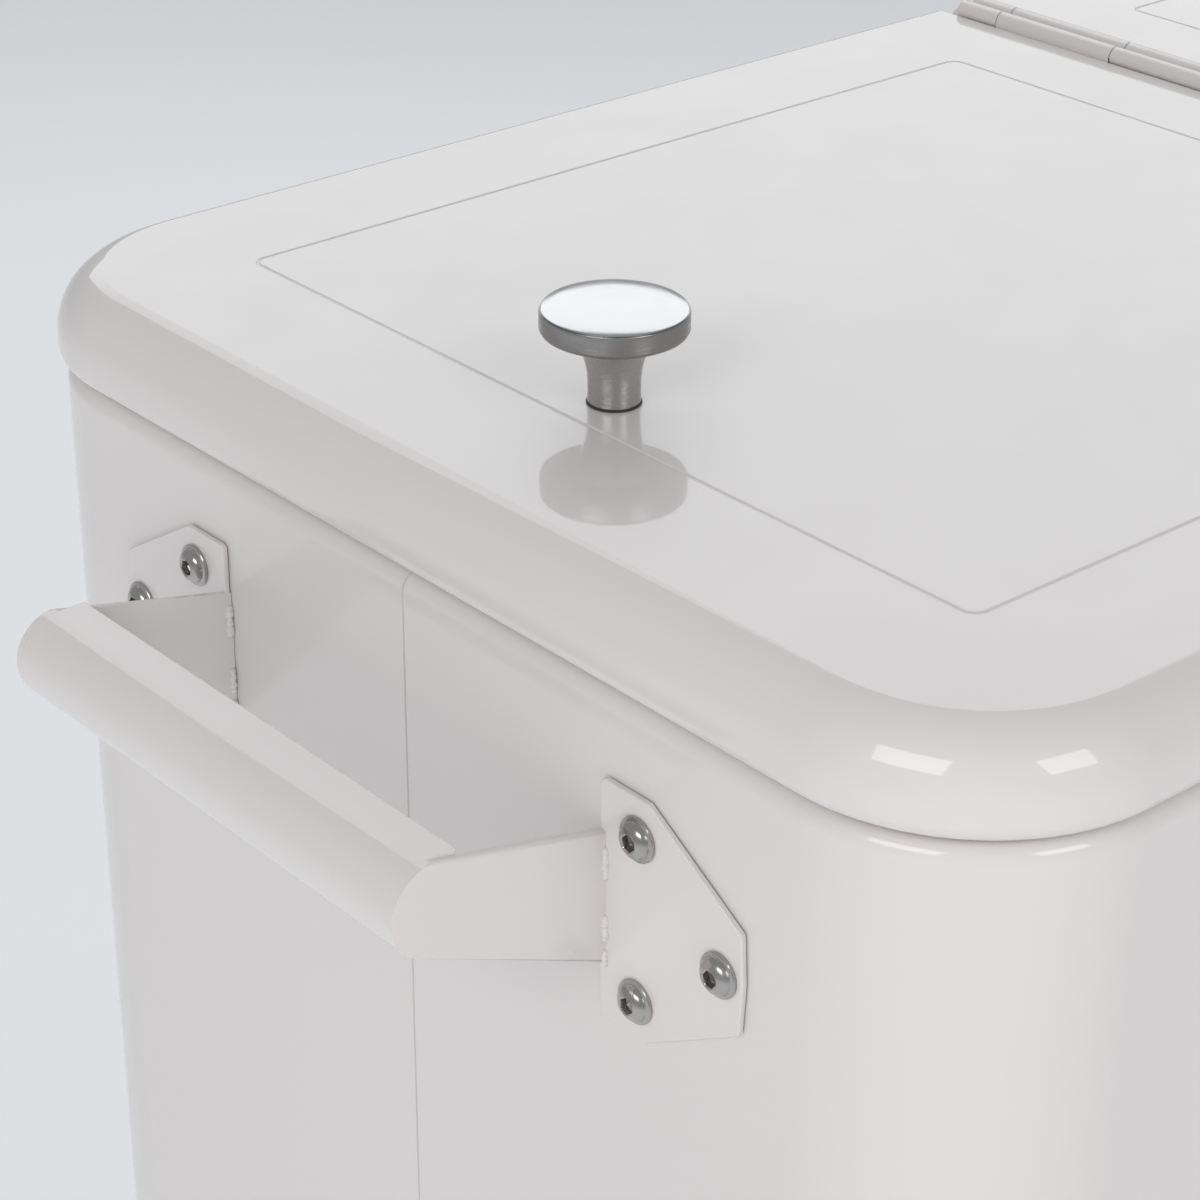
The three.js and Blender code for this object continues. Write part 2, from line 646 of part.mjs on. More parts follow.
function brakeLever() {
  const half = CHEEK_INNER - GAP;
  const pad = extrudeAlongY(shapeOf([
    [29.5, 66.5],
    [30, 62.6],
    [35.5, 61],
    [46, 58.5],
    [58, 56],
    [59, 58.5],
    [47, 62.5],
    [36, 67.5],
  ]), -half, half);
  const pinHalf = CHEEK_INNER + CHEEK_SHEET;
  const pin = turnedAt(rod(BRAKE.pin, 2 * pinHalf), 10, "y", [BRAKE.x, -pinHalf, BRAKE.z]);
  return join(pad, pin);
}

function casterAxle() {
  const half = CHEEK_INNER + CHEEK_SHEET + GAP;
  const head = 2;
  const profile = [
    [0, -half - head],
    [4.8, -half - head],
    [5.2, -half],
    [AXLE_RADIUS, -half],
    [AXLE_RADIUS, half],
    [5.2, half],
    [4.8, half + head],
    [0, half + head],
  ];
  return turnedAt(profile, 10, "y", [CASTER.trail, 0, AXLE_Z]);
}

function casterWheel() {
  const { wheelRadius, wheelHalf } = CASTER;
  const bore = AXLE_RADIUS + GAP;
  const half = [
    [bore, wheelHalf],
    [8, wheelHalf],
    [9, wheelHalf - 3],
    [22, wheelHalf - 3],
    [23.5, wheelHalf - 0.5],
    [wheelRadius - 2.5, wheelHalf - 0.5],
    [wheelRadius, wheelHalf - 4],
  ];
  const profile = [...half.map(([r, y]) => [r, -y]), ...half.reverse()];
  return turnedAt(profile, 24, "y", [CASTER.trail, 0, AXLE_Z], true);
}

// ---------------------------------------------------------------- front fittings
const FRONT = -CHEST.halfY;

function bottleOpener() {
  const { z, halfX, halfZ, sheet } = OPENER;
  const plate = roundedRectShape(halfX, halfZ, 6, 0, z);
  const back = extrudeAlongY(plate, FRONT - GAP - sheet, FRONT - GAP, 4);
  const hook = extrudeAlongX(shapeOf([
    [FRONT - 2, z + 15],
    [FRONT - 14, z + 12],
    [FRONT - 20, z + 2],
    [FRONT - 20, z - 3],
    [FRONT - 17, z - 3],
    [FRONT - 16.5, z + 1],
    [FRONT - 12, z + 8.5],
    [FRONT - 2, z + 10.5],
  ]), -15, 15);
  const lip = extrudeAlongX(shapeOf([
    [FRONT - 2, z - 8],
    [FRONT - 9, z - 10],
    [FRONT - 9, z - 13],
    [FRONT - 2, z - 14],
  ]), -13, 13);
  return join(back, hook, lip);
}

// A strip on the front wall with an upright that the cap catcher's lip hooks over.
function catcherHanger() {
  const back = FRONT - GAP;
  const face = back - HANGER_SHEET;
  const upright = FRONT - 3.8;
  return extrudeAlongX(shapeOf([
    [back, HOOK_Z - 20],
    [back, HOOK_Z + 6],
    [face, HOOK_Z + 6],
    [face, HOOK_Z - 6],
    [upright, HOOK_Z - 6],
    [upright, HOOK_Z + 4],
    [upright - HANGER_SHEET, HOOK_Z + 4],
    [upright - HANGER_SHEET, HOOK_Z - 7.5],
    [face, HOOK_Z - 7.5],
    [face, HOOK_Z - 20],
  ]), -30, 30);
}

// An open-topped box whose back folds over into a lip that drops behind the hanger's upright.
function capCatcher() {
  const back = FRONT - 5.6;
  const { halfX, bottom, top, wall } = CATCHER;
  const depth = FRONT_REACH + back;
  const middle = back - depth / 2;
  const outline = (inset) => roundedRectShape(halfX - inset, depth / 2 - inset, 8 - inset, 0, middle);
  const inside = extrudeUp(outline(wall), bottom + wall, top + 1, 4);
  const shell = cut(extrudeUp(outline(0), bottom, top, 4), inside);
  const fold = extrudeAlongX(shapeOf([
    [back - wall, top - wall],
    [FRONT - 3.3, top - wall],
    [FRONT - 3.3, HOOK_Z - 4],
    [FRONT - 2.1, HOOK_Z - 4],
    [FRONT - 2.1, top],
    [back - wall, top],
  ]), -28, 28);
  return join(shell, fold);
}

// ---------------------------------------------------------------- assembly
add("outer_shell", outerShell(), paint);
add("bottom_pan", bottomPan(), paint);
add("insulation_foam", insulation(), foam);
add("inner_liner", innerLiner(), liner);
add("centre_bar", centreBar(), whitePlastic);
add("hinge_fixed_leaf", fixedLeaf(), paint);
add("hinge_pin_left", hingePin(-1), stainless);
add("hinge_pin_right", hingePin(1), stainless);
add("shelf", shelf(), paint);
add("drain_spout", drainSpout(), whitePlastic);
add("drain_cap", drainCap(), whitePlastic);
add("bottle_opener", bottleOpener(), stainless);
add("catcher_hanger", catcherHanger(), stainless);
add("cap_catcher", capCatcher(), stainless);

// Each end is the left one, turned half round for the right.
for (const [end, turn] of [["left", 0], ["right", Math.PI]]) {
  const group = new THREE.Group();
  group.rotation.z = turn;
  cooler.add(group);
  add(`${end}_lid_shell`, lidShell(), paint, group);
  add(`${end}_lid_foam`, lidFoam(), foam, group);
  add(`${end}_lid_liner`, lidLiner(), liner, group);
  add(`${end}_lid_gasket`, lidGasket(), rubber, group);
  add(`${end}_hinge_leaf`, movingLeaf(), paint, group);
  add(`${end}_knob`, knob(), chrome, group);
  add(`${end}_handle_grip`, handleGrip(), paint, group);
  for (const side of [-1, 1]) {
    const place = Math.cos(turn) * side < 0 ? "front" : "rear";
    add(`${end}_${place}_handle_bracket`, handleBracket(side), paint, group);
    add(`${end}_${place}_handle_screws`, screwSet(side), stainless, group);
  }
}

for (const [end, sideX] of [["left", -1], ["right", 1]]) {
  for (const [place, sideY] of [["front", -1], ["rear", 1]]) {
    const corner = `${place}_${end}`;
    add(`${corner}_leg`, leg(sideX, sideY), paint);
    const group = new THREE.Group();
    group.position.set(sideX * CASTER.x, sideY * CASTER.y, 0);
    cooler.add(group);
    add(`${corner}_caster_plate`, casterPlate(), zinc, group);
    add(`${corner}_caster_fork`, casterFork(), zinc, group);
    add(`${corner}_caster_axle`, casterAxle(), zinc, group);
    add(`${corner}_caster_wheel`, casterWheel(), wheelPlastic, group);
    if (place === "front") add(`${corner}_brake_lever`, brakeLever(), wheelPlastic, group);
  }
}

export default cooler;
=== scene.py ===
"""A rolling patio cooler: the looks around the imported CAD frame. Lengths are in metres, +Z is up."""
import json
import math
from random import Random

import bmesh
import bpy
from mathutils import Matrix, Vector

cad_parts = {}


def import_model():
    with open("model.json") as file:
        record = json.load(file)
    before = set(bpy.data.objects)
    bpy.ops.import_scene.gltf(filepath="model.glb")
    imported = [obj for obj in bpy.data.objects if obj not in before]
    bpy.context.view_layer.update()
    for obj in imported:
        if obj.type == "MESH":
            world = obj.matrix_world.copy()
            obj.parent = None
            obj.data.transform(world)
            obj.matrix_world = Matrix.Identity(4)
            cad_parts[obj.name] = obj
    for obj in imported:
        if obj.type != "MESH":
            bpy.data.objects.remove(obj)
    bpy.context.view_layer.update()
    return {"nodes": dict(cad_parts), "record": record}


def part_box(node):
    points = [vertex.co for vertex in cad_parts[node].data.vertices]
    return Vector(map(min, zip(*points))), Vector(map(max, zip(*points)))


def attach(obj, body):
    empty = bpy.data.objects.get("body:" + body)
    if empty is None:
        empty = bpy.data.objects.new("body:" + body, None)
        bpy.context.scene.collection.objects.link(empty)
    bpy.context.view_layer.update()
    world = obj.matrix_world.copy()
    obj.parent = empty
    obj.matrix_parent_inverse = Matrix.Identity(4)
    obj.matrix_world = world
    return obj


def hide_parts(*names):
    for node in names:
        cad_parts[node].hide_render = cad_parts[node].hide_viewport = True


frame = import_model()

MM = 0.001
TURN = 2 * math.pi
BODY_OF = {node: body for body, nodes in frame["record"]["behaviour"]["bodies"].items() for node in nodes}
SLOT_OF = {part["node"]: part["material_slot"] for part in frame["record"]["subparts"]}
HALF_TURN = Matrix.Rotation(math.pi, 4, "Z")  # takes the left end to the right end


# ---------------------------------------------------------------- mesh tools
def skin(bm, loops, around=True, rows_closed=False):
    """Quads between successive loops of points. Each loop closes on itself when around is true."""
    rings = [[bm.verts.new(Vector(point)) for point in loop] for loop in loops]
    pairs = list(zip(rings, rings[1:]))
    if rows_closed:
        pairs.append((rings[-1], rings[0]))
    for low, high in pairs:
        count = len(low)
        for i in range(count if around else count - 1):
            j = (i + 1) % count
            bm.faces.new((low[i], low[j], high[j], high[i]))
    return rings


def prism(bm, points, vector):
    """A closed solid: a flat outline pushed along a vector."""
    low = [bm.verts.new(Vector(p)) for p in points]
    high = [bm.verts.new(Vector(p) + Vector(vector)) for p in points]
    count = len(points)
    bm.faces.new(low[::-1])
    bm.faces.new(high)
    for i in range(count):
        j = (i + 1) % count
        bm.faces.new((low[i], low[j], high[j], high[i]))


def block(bm, low, high):
    """A closed box between two corners."""
    (x0, y0, z0), (x1, y1, z1) = low, high
    prism(bm, [(x0, y0, z0), (x1, y0, z0), (x1, y1, z0), (x0, y1, z0)], (0, 0, z1 - z0))


def arc(centre, radius, start, end, steps):
    """Points on a circle about (u, v), the angles in degrees."""
    angles = [math.radians(start + (end - start) * i / steps) for i in range(steps + 1)]
    return [(centre[0] + radius * math.cos(a), centre[1] + radius * math.sin(a)) for a in angles]


def rounded_polygon(points, radius, steps=5):
    """A flat outline with its corners turned into arcs."""
    result = []
    count = len(points)
    for i, corner in enumerate(points):
        here = Vector(corner)
        before = (Vector(points[i - 1]) - here).normalized()
        after = (Vector(points[(i + 1) % count]) - here).normalized()
        half = before.angle(after) / 2
        reach = radius / math.tan(half)
        centre = here + (before + after).normalized() * (radius / math.sin(half))
        first = here + before * reach - centre
        last = here + after * reach - centre
        for k in range(steps + 1):
            result.append(tuple(centre + first.slerp(last, k / steps).normalized() * radius))
    return result


def rounded_rect(half_u, half_v, radius, centre=(0, 0), steps=6):
    """The outline of a rounded rectangle, anticlockwise."""
    u, v = half_u - radius, half_v - radius
    points = []
    for quadrant, (su, sv) in enumerate([(1, 1), (-1, 1), (-1, -1), (1, -1)]):
        corner = (centre[0] + su * u, centre[1] + sv * v)
        points += arc(corner, radius, 90 * quadrant, 90 * quadrant + 90, steps)
    return points


def lathe(bm, profile, segments, matrix=Matrix.Identity(4), closed=False):
    """A turned solid about the local Z axis from (radius, height) points, starting and ending on the axis."""
    rings = []
    for radius, height in profile:
        if radius < 1e-7:
            rings.append([bm.verts.new(matrix @ Vector((0, 0, height)))])
            continue
        ring = [(radius * math.cos(TURN * i / segments), radius * math.sin(TURN * i / segments), height)
                for i in range(segments)]
        rings.append([bm.verts.new(matrix @ Vector(p)) for p in ring])
    pairs = list(zip(rings, rings[1:]))
    if closed:
        pairs.append((rings[-1], rings[0]))
    for low, high in pairs:
        for i in range(segments):
            j = (i + 1) % segments
            corners = [low[i % len(low)], low[j % len(low)], high[j % len(high)], high[i % len(high)]]
            unique = list(dict.fromkeys(corners))
            bm.faces.new(unique)


def along(axis, origin):
    """A matrix whose local Z lies along an axis given by a vector, at an origin."""
    turned = Vector((0, 0, 1)).rotation_difference(Vector(axis)).to_matrix().to_4x4()
    return Matrix.Translation(Vector(origin)) @ turned


def piece(name, bm, node, *also, material=None, thick=0, bevel=0, sharp=35, body=None, turn=False, steps=3):
    """Makes an object of a bmesh, gives it thickness and soft edges, and lets it stand for CAD nodes."""
    bmesh.ops.remove_doubles(bm, verts=bm.verts, dist=1e-6)
    bmesh.ops.recalc_face_normals(bm, faces=bm.faces)
    if turn:
        bm.transform(HALF_TURN)
    mesh = bpy.data.meshes.new(name)
    bm.to_mesh(mesh)
    bm.free()
    obj = bpy.data.objects.new(name, mesh)
    bpy.context.scene.collection.objects.link(obj)
    if thick:
        solidify = obj.modifiers.new("thickness", "SOLIDIFY")
        solidify.thickness = thick
        solidify.offset = -1
        solidify.use_even_offset = True
    if bevel:
        soften = obj.modifiers.new("edges", "BEVEL")
        soften.width = bevel
        soften.segments = steps
        soften.limit_method = "ANGLE"
        soften.angle_limit = math.radians(sharp)
    if thick or bevel:
        bpy.context.view_layer.update()
        shaped = bpy.data.meshes.new_from_object(obj.evaluated_get(bpy.context.evaluated_depsgraph_get()))
        obj.modifiers.clear()
        obj.data = shaped
    obj.data.name = name
    obj.data.shade_smooth()
    obj.data.set_sharp_from_angle(angle=math.radians(sharp))
    weighted = obj.modifiers.new("normals", "WEIGHTED_NORMAL")
    weighted.keep_sharp = True
    slot = SLOT_OF[node]
    obj.data.materials.clear()
    obj.data.materials.append(material or MATERIALS[slot])
    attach(obj, body or BODY_OF[node])
    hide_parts(node, *also)
    return obj


# ---------------------------------------------------------------- materials
def new_material(name, color, roughness, metallic=0.0, coat=0.0, coat_roughness=0.05, ior=1.5):
    """A Principled material, its even values set on the shader's own sockets."""
    material = bpy.data.materials.new(name)
    material.use_nodes = True
    shader = material.node_tree.nodes["Principled BSDF"]
    shader.inputs["Base Color"].default_value = (*color, 1)
    shader.inputs["Roughness"].default_value = roughness
    shader.inputs["Metallic"].default_value = metallic
    shader.inputs["Coat Weight"].default_value = coat
    shader.inputs["Coat Roughness"].default_value = coat_roughness
    shader.inputs["IOR"].default_value = ior
    return material, shader


def noise(material, scale, detail=3.0, stretch=(1, 1, 1), roughness=0.5):
    """A noise texture in the piece's own space, its scale in features a metre."""
    nodes, links = material.node_tree.nodes, material.node_tree.links
    coordinates = nodes.new("ShaderNodeTexCoord")
    mapping = nodes.new("ShaderNodeMapping")
    mapping.inputs["Scale"].default_value = stretch
    texture = nodes.new("ShaderNodeTexNoise")
    texture.inputs["Scale"].default_value = scale
    texture.inputs["Detail"].default_value = detail
    texture.inputs["Roughness"].default_value = roughness
    links.new(coordinates.outputs["Object"], mapping.inputs["Vector"])
    links.new(mapping.outputs["Vector"], texture.inputs["Vector"])
    return texture.outputs["Fac"]


def ramp(material, factor, low, high, start=0.35, end=0.65):
    """Maps a factor between two colours or two grey levels."""
    node = material.node_tree.nodes.new("ShaderNodeValToRGB")
    node.color_ramp.elements[0].position = start
    node.color_ramp.elements[1].position = end
    colors = [value if hasattr(value, "__len__") else (value, value, value) for value in (low, high)]
    for element, color in zip(node.color_ramp.elements, colors):
        element.color = (*color, 1)
    material.node_tree.links.new(factor, node.inputs["Fac"])
    return node.outputs["Color"]


def add_bump(material, shader, factor, strength, distance):
    node = material.node_tree.nodes.new("ShaderNodeBump")
    node.inputs["Strength"].default_value = strength
    node.inputs["Distance"].default_value = distance
    links = material.node_tree.links
    links.new(factor, node.inputs["Height"])
    links.new(node.outputs["Normal"], shader.inputs["Normal"])


def vary(material, shader, socket, factor, low, high):
    material.node_tree.links.new(ramp(material, factor, low, high), shader.inputs[socket])


def shade(color, share):
    return tuple(channel * share for channel in color)


def powder_coat():
    """Glossy baked powder coat over sheet steel, with a faint orange peel."""
    color = (0.75, 0.718, 0.70)
    material, shader = new_material("powder_coat", color, 0.35, coat=1.0, coat_roughness=0.045)
    shader.inputs["Specular IOR Level"].default_value = 0.2
    vary(material, shader, "Base Color", noise(material, 3.0), shade(color, 0.985), color)
    vary(material, shader, "Roughness", noise(material, 40.0), 0.3, 0.4)
    add_bump(material, shader, noise(material, 260.0, detail=1.0), 0.05, 0.0002)
    return material


def polished_chrome():
    color = (0.56, 0.565, 0.575)
    material, shader = new_material("polished_chrome", color, 0.16, metallic=1.0)
    vary(material, shader, "Roughness", noise(material, 120.0), 0.14, 0.2)
    add_bump(material, shader, noise(material, 500.0, detail=2.0), 0.015, 0.0001)
    return material


def brushed_chrome(name, color, roughness):
    """The turned side or neck of the knob: fine rings round its axis."""
    material, shader = new_material(name, color, roughness, metallic=1.0)
    rings = noise(material, 900.0, stretch=(0.15, 0.15, 4))
    vary(material, shader, "Roughness", rings, roughness - 0.06, roughness + 0.08)
    add_bump(material, shader, noise(material, 1500.0, stretch=(0.05, 0.05, 3)), 0.06, 0.0001)
    return material


def satin_steel():
    color = (0.47, 0.455, 0.44)
    material, shader = new_material("satin_stainless", color, 0.22, metallic=1.0)
    vary(material, shader, "Roughness", noise(material, 300.0), 0.14, 0.28)
    vary(material, shader, "Base Color", noise(material, 60.0), shade(color, 0.92), color)
    add_bump(material, shader, noise(material, 900.0, stretch=(1, 1, 0.1)), 0.04, 0.0001)
    return material


def zinc_plate():
    color = (0.62, 0.63, 0.64)
    material, shader = new_material("bright_zinc", color, 0.3, metallic=1.0)
    vary(material, shader, "Roughness", noise(material, 140.0), 0.22, 0.42)
    vary(material, shader, "Base Color", noise(material, 90.0), shade(color, 0.88), color)
    add_bump(material, shader, noise(material, 600.0), 0.05, 0.0001)
    return material


def moulded(name, color, roughness, grain, strength):
    """Moulded plastic or rubber with a fine mould grain."""
    material, shader = new_material(name, color, roughness)
    vary(material, shader, "Roughness", noise(material, 60.0), roughness * 0.85, min(1.0, roughness * 1.15))
    vary(material, shader, "Base Color", noise(material, 12.0), shade(color, 0.97), color)
    add_bump(material, shader, noise(material, grain, detail=2.0), strength, 0.0003)
    return material


def rigid_foam():
    color = (0.80, 0.70, 0.46)
    material, shader = new_material("rigid_foam", color, 0.9)
    vary(material, shader, "Base Color", noise(material, 25.0), shade(color, 0.85), color)
    add_bump(material, shader, noise(material, 400.0, detail=4.0), 0.5, 0.001)
    return material


# The rim's chrome is darker than the knob's other chrome: painted shade standing in for the dark reflection
# round the rim.
CHROME_RIM_PAINTED_SHADE = brushed_chrome("turned_chrome_painted_shade", (0.34, 0.335, 0.33), 0.3)
CHROME_NECK = brushed_chrome("satin_neck", (0.50, 0.49, 0.48), 0.3)
MATERIALS = {
    "paint": powder_coat(),
    "chrome": polished_chrome(),
    "stainless": satin_steel(),
    "zinc": zinc_plate(),
    "liner": moulded("liner_plastic", (0.78, 0.78, 0.765), 0.38, 700.0, 0.12),
    "white_plastic": moulded("white_plastic", (0.76, 0.76, 0.75), 0.28, 900.0, 0.08),
    "foam": rigid_foam(),
    "gasket": moulded("gasket_rubber", (0.45, 0.45, 0.44), 0.6, 1200.0, 0.15),
    "wheel": moulded("wheel_polymer", (0.035, 0.035, 0.038), 0.5, 900.0, 0.2),
}
for node_name, node_object in frame["nodes"].items():
    node_object.data.materials.clear()
    node_object.data.materials.append(MATERIALS[SLOT_OF[node_name]])


# ---------------------------------------------------------------- camera
CAMERA_AT = (-0.7886, -0.5386, 1.1596)
CAMERA_RIGHT = Vector((0.7585891, -0.6515455, 0.0055697))
CAMERA_FORWARD = Vector((0.5782517, 0.6692651, -0.4665932))
FOCAL_SHARE = 2.54458  # focal length as a share of the sensor's width


def camera():
    data = bpy.data.cameras.new("camera")
    data.sensor_width = 36
    data.lens = FOCAL_SHARE * data.sensor_width
    data.clip_start = 0.05
    obj = bpy.data.objects.new("camera", data)
    bpy.context.scene.collection.objects.link(obj)
    back = -CAMERA_FORWARD.normalized()
    right = CAMERA_RIGHT.normalized()
    up = back.cross(right)
    obj.matrix_world = Matrix.Translation(CAMERA_AT) @ Matrix((right, up, back)).transposed().to_4x4()
    bpy.context.scene.camera = obj


camera()

# ---------------------------------------------------------------- chest
CHEST_RADIUS = 53 * MM
SHEET = 1.2 * MM
SHOULDER = 5 * MM
shell_low, shell_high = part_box("outer_shell")
CHEST_X, CHEST_Y = shell_high.x, shell_high.y
CHEST_TOP, CHEST_BOTTOM = shell_high.z, shell_low.z


def chest_outline(inset, z, steps=16, base=(CHEST_X, CHEST_Y, CHEST_RADIUS)):
    half_x, half_y, radius = base
    points = rounded_rect(half_x - inset, half_y - inset, radius - inset, steps=steps)
    return [(x, y, z) for x, y in points]


def seam_outline(inset, z):
    """The wrap sheet's outline, with its lapped seam in the middle of both end walls."""
    joggle = [(-14, 0), (-1.0, -0.15), (-0.7, -0.85), (-0.1, -0.85), (0.1, 0.12), (0.9, 0.15), (9, 0)]
    points = chest_outline(inset, z)
    half = CHEST_X - inset
    quarter_count = len(points) // 4
    left = [(-half - out * MM, -y * MM, z) for y, out in joggle]
    right = [(half + out * MM, y * MM, z) for y, out in joggle]
    return points[: 2 * quarter_count] + left + points[2 * quarter_count:] + right


def outer_shell():
    bm = bmesh.new()
    rows = [(2.2 * MM, CHEST_BOTTOM + 6 * MM), (1.0 * MM, CHEST_BOTTOM + 1 * MM)]
    rows += [(0.4 * MM, CHEST_BOTTOM), (0, CHEST_BOTTOM + 1 * MM)]
    rows += [(0, CHEST_BOTTOM + 3 * MM), (0, CHEST_TOP - SHOULDER - 4 * MM)]
    curve = arc((SHOULDER, CHEST_TOP - SHOULDER), SHOULDER, 180, 90, 10)
    rows += curve + [(16 * MM, CHEST_TOP)]
    skin(bm, [seam_outline(inset, z) for inset, z in rows])
    piece("chest_wrap", bm, "outer_shell", thick=0.9 * MM, sharp=30)


def bottom_pan():
    low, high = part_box("bottom_pan")
    bm = bmesh.new()
    inset = CHEST_X - high.x
    bend = 3 * MM
    rows = [(inset, low.z), (inset, high.z - bend)] + arc((inset + bend, high.z - bend), bend, 180, 90, 6)
    rings = skin(bm, [chest_outline(i, z) for i, z in rows])
    bm.faces.new(rings[-1])
    piece("bottom_pan_sheet", bm, "bottom_pan", thick=SHEET, bevel=0.3 * MM)


def inner_liner():
    """The moulded bin: a flange, a rounded mouth, slightly drafted walls and a filleted floor."""
    low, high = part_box("inner_liner")
    bm = bmesh.new()
    edge = CHEST_X - high.x
    inside = 32 * MM
    mouth, floor_curve = 3 * MM, 14 * MM
    floor = low.z + 2.5 * MM
    rows = [(edge, high.z - 1.6 * MM), (edge, high.z - 0.6 * MM), (edge + 0.6 * MM, high.z)]
    rows += [(inside - mouth, high.z)]
    rows += arc((inside - mouth, high.z - mouth), mouth, 80, 0, 5)
    rows += [(inside + 1 * MM, floor + floor_curve)]
    rows += arc((inside + 1 * MM + floor_curve, floor + floor_curve), -floor_curve, 10, 90, 7)
    rings = skin(bm, [chest_outline(i, z) for i, z in rows])
    bm.faces.new(rings[-1])
    piece("bin_liner", bm, "inner_liner", thick=1.6 * MM, sharp=40)


def centre_bar():
    low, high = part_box("centre_bar")
    bm = bmesh.new()
    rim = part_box("inner_liner")[1].z
    span = CHEST_Y - 32.3 * MM
    block(bm, (low.x, -span, low.z), (high.x, span, rim))
    block(bm, (-5 * MM, low.y, rim + 0.3 * MM), (5 * MM, high.y, high.z))
    piece("centre_bar_moulding", bm, "centre_bar", bevel=1.2 * MM)


outer_shell()
bottom_pan()
inner_liner()
centre_bar()

# ---------------------------------------------------------------- lids
LID_RADIUS = 55 * MM
CORNER_RADIUS = 53 * MM  # of the lid's lining
EMBOSS_OUTER, EMBOSS_INNER = -333.7 * MM, -45.6 * MM  # the pressed rectangle's ends along X on the left lid
EMBOSS_HALF_Y, EMBOSS_RADIUS = 139.7 * MM, 4 * MM
CURL = 5.5 * MM
CREASE_INSET = 13.2 * MM
CREASE_ANGLE = 18  # how far the rounded edge turns down from the flat top at the crease
lid_low, lid_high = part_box("left_lid_shell")


def lid_path(inset, z, steps=20):
    """Round three sides of the left half lid, from the front of its inner edge to the rear of it."""
    x0, y0, x1 = lid_low.x + LID_RADIUS, lid_high.y - LID_RADIUS, lid_high.x
    radius = LID_RADIUS - inset
    points = [(x1, -y0 - radius)] + arc((x0, -y0), radius, 270, 180, steps)
    points += arc((x0, y0), radius, 180, 90, steps) + [(x1, y0 + radius)]
    return [(x, y, z) for x, y in points]


def bullnose_rows(top):
    """The rounded edge, from the vertical skirt up to just under the crease."""
    radius = CREASE_INSET / (1 - math.sin(math.radians(CREASE_ANGLE)))
    drop = radius * math.cos(math.radians(CREASE_ANGLE))
    rows = arc((radius, top - drop), radius, 180, 90 + CREASE_ANGLE, 14)
    return rows[:-1] + [(rows[-1][0], top - 0.12 * MM)]


def lid_skin(bm):
    top, bottom = lid_high.z, lid_low.z
    rows = [(8.5 * MM, bottom + 0.6 * MM), (7.5 * MM, bottom)]
    rows += arc((CURL, bottom + CURL), -CURL, 90, 0, 10)
    rows += bullnose_rows(top)
    rows += [(rows[-1][0] + 0.5 * MM, top)]
    rings = skin(bm, [lid_path(inset, z) for inset, z in rows], around=False)
    wall = [ring[0] for ring in rings] + [ring[-1] for ring in reversed(rings)]
    bm.faces.new(wall)
    return rings[-1]


def emboss_rows():
    """Offsets from the middle of the pressed line, and heights."""
    half = [(0.8, 0), (0.55, -0.05), (0.3, -0.27), (0.08, -0.38)]
    return half + [(-offset, height) for offset, height in reversed(half)]


def lid_shell(end, turn):
    """A pressed half lid with a crease round its flat top and a thin pressed rectangle."""
    bm = bmesh.new()
    crease = lid_skin(bm)
    centre = ((EMBOSS_OUTER + EMBOSS_INNER) / 2, 0)
    half_x = (EMBOSS_INNER - EMBOSS_OUTER) / 2
    loops = []
    for offset, height in emboss_rows():
        grow = offset * MM
        outline = rounded_rect(half_x + grow, EMBOSS_HALF_Y + grow, EMBOSS_RADIUS + grow, centre, steps=8)
        loops.append([(x, y, lid_high.z + height * MM) for x, y in outline])
    rings = skin(bm, loops)
    bm.faces.new(rings[-1])
    border = [bm.edges.get((a, b)) for a, b in zip(crease, crease[1:] + crease[:1])]
    hole = [bm.edges.get((a, b)) for a, b in zip(rings[0], rings[0][1:] + rings[0][:1])]
    bmesh.ops.triangle_fill(bm, use_beauty=True, use_dissolve=False, edges=border + hole)
    inner = [edge for edge in bm.edges if all(abs(v.co.x - lid_high.x) < 1e-6 for v in edge.verts)]
    inner = [edge for edge in inner if len(edge.link_faces) == 2]
    bmesh.ops.bevel(bm, geom=inner, offset=1.0 * MM, segments=4, affect="EDGES", profile=0.5)
    piece(f"{end}_lid_pressing", bm, f"{end}_lid_shell", thick=0.9 * MM, sharp=10, turn=turn)


def lid_liner(end, turn):
    """The white moulded underside with its plug."""
    low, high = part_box("left_lid_liner")
    bm = bmesh.new()
    panel_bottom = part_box("left_lid_gasket")[1].z + 0.3 * MM
    corner_x, corner_y = low.x + CORNER_RADIUS, high.y - CORNER_RADIUS
    outline = [(high.x, -high.y)] + arc((corner_x, -corner_y), CORNER_RADIUS, 270, 180, 16)
    outline += arc((corner_x, corner_y), CORNER_RADIUS, 180, 90, 16) + [(high.x, high.y)]
    prism(bm, [(x, y, panel_bottom) for x, y in outline], (0, 0, high.z - panel_bottom))
    plug_left, plug_right = -CHEST_X + 38 * MM, -28 * MM
    half_y = CHEST_Y - 38 * MM
    centre, half_x = ((plug_left + plug_right) / 2, 0), (plug_right - plug_left) / 2
    draft, curve, radius = 0.6 * MM, 4 * MM, 15 * MM
    rows = [(0, panel_bottom), (draft, low.z + curve)]
    for angle in (0.4, 0.8, 1.2, TURN / 4):
        rows.append((draft + curve * (1 - math.cos(angle)), low.z + curve * (1 - math.sin(angle))))
    loops = []
    for inset, z in rows:
        outline = rounded_rect(half_x - inset, half_y - inset, radius - inset, centre, 8)
        loops.append([(x, y, z) for x, y in outline])
    for inset, z in [(22 * MM, low.z), (24 * MM, low.z + 2 * MM)]:
        loops.append([(x, y, z) for x, y in rounded_rect(half_x - inset, half_y - inset, 8 * MM, centre, 8)])
    rings = skin(bm, loops)
    bm.faces.new(rings[-1])
    bm.faces.new(rings[0])
    piece(f"{end}_lid_lining", bm, f"{end}_lid_liner", bevel=0.4 * MM, turn=turn)


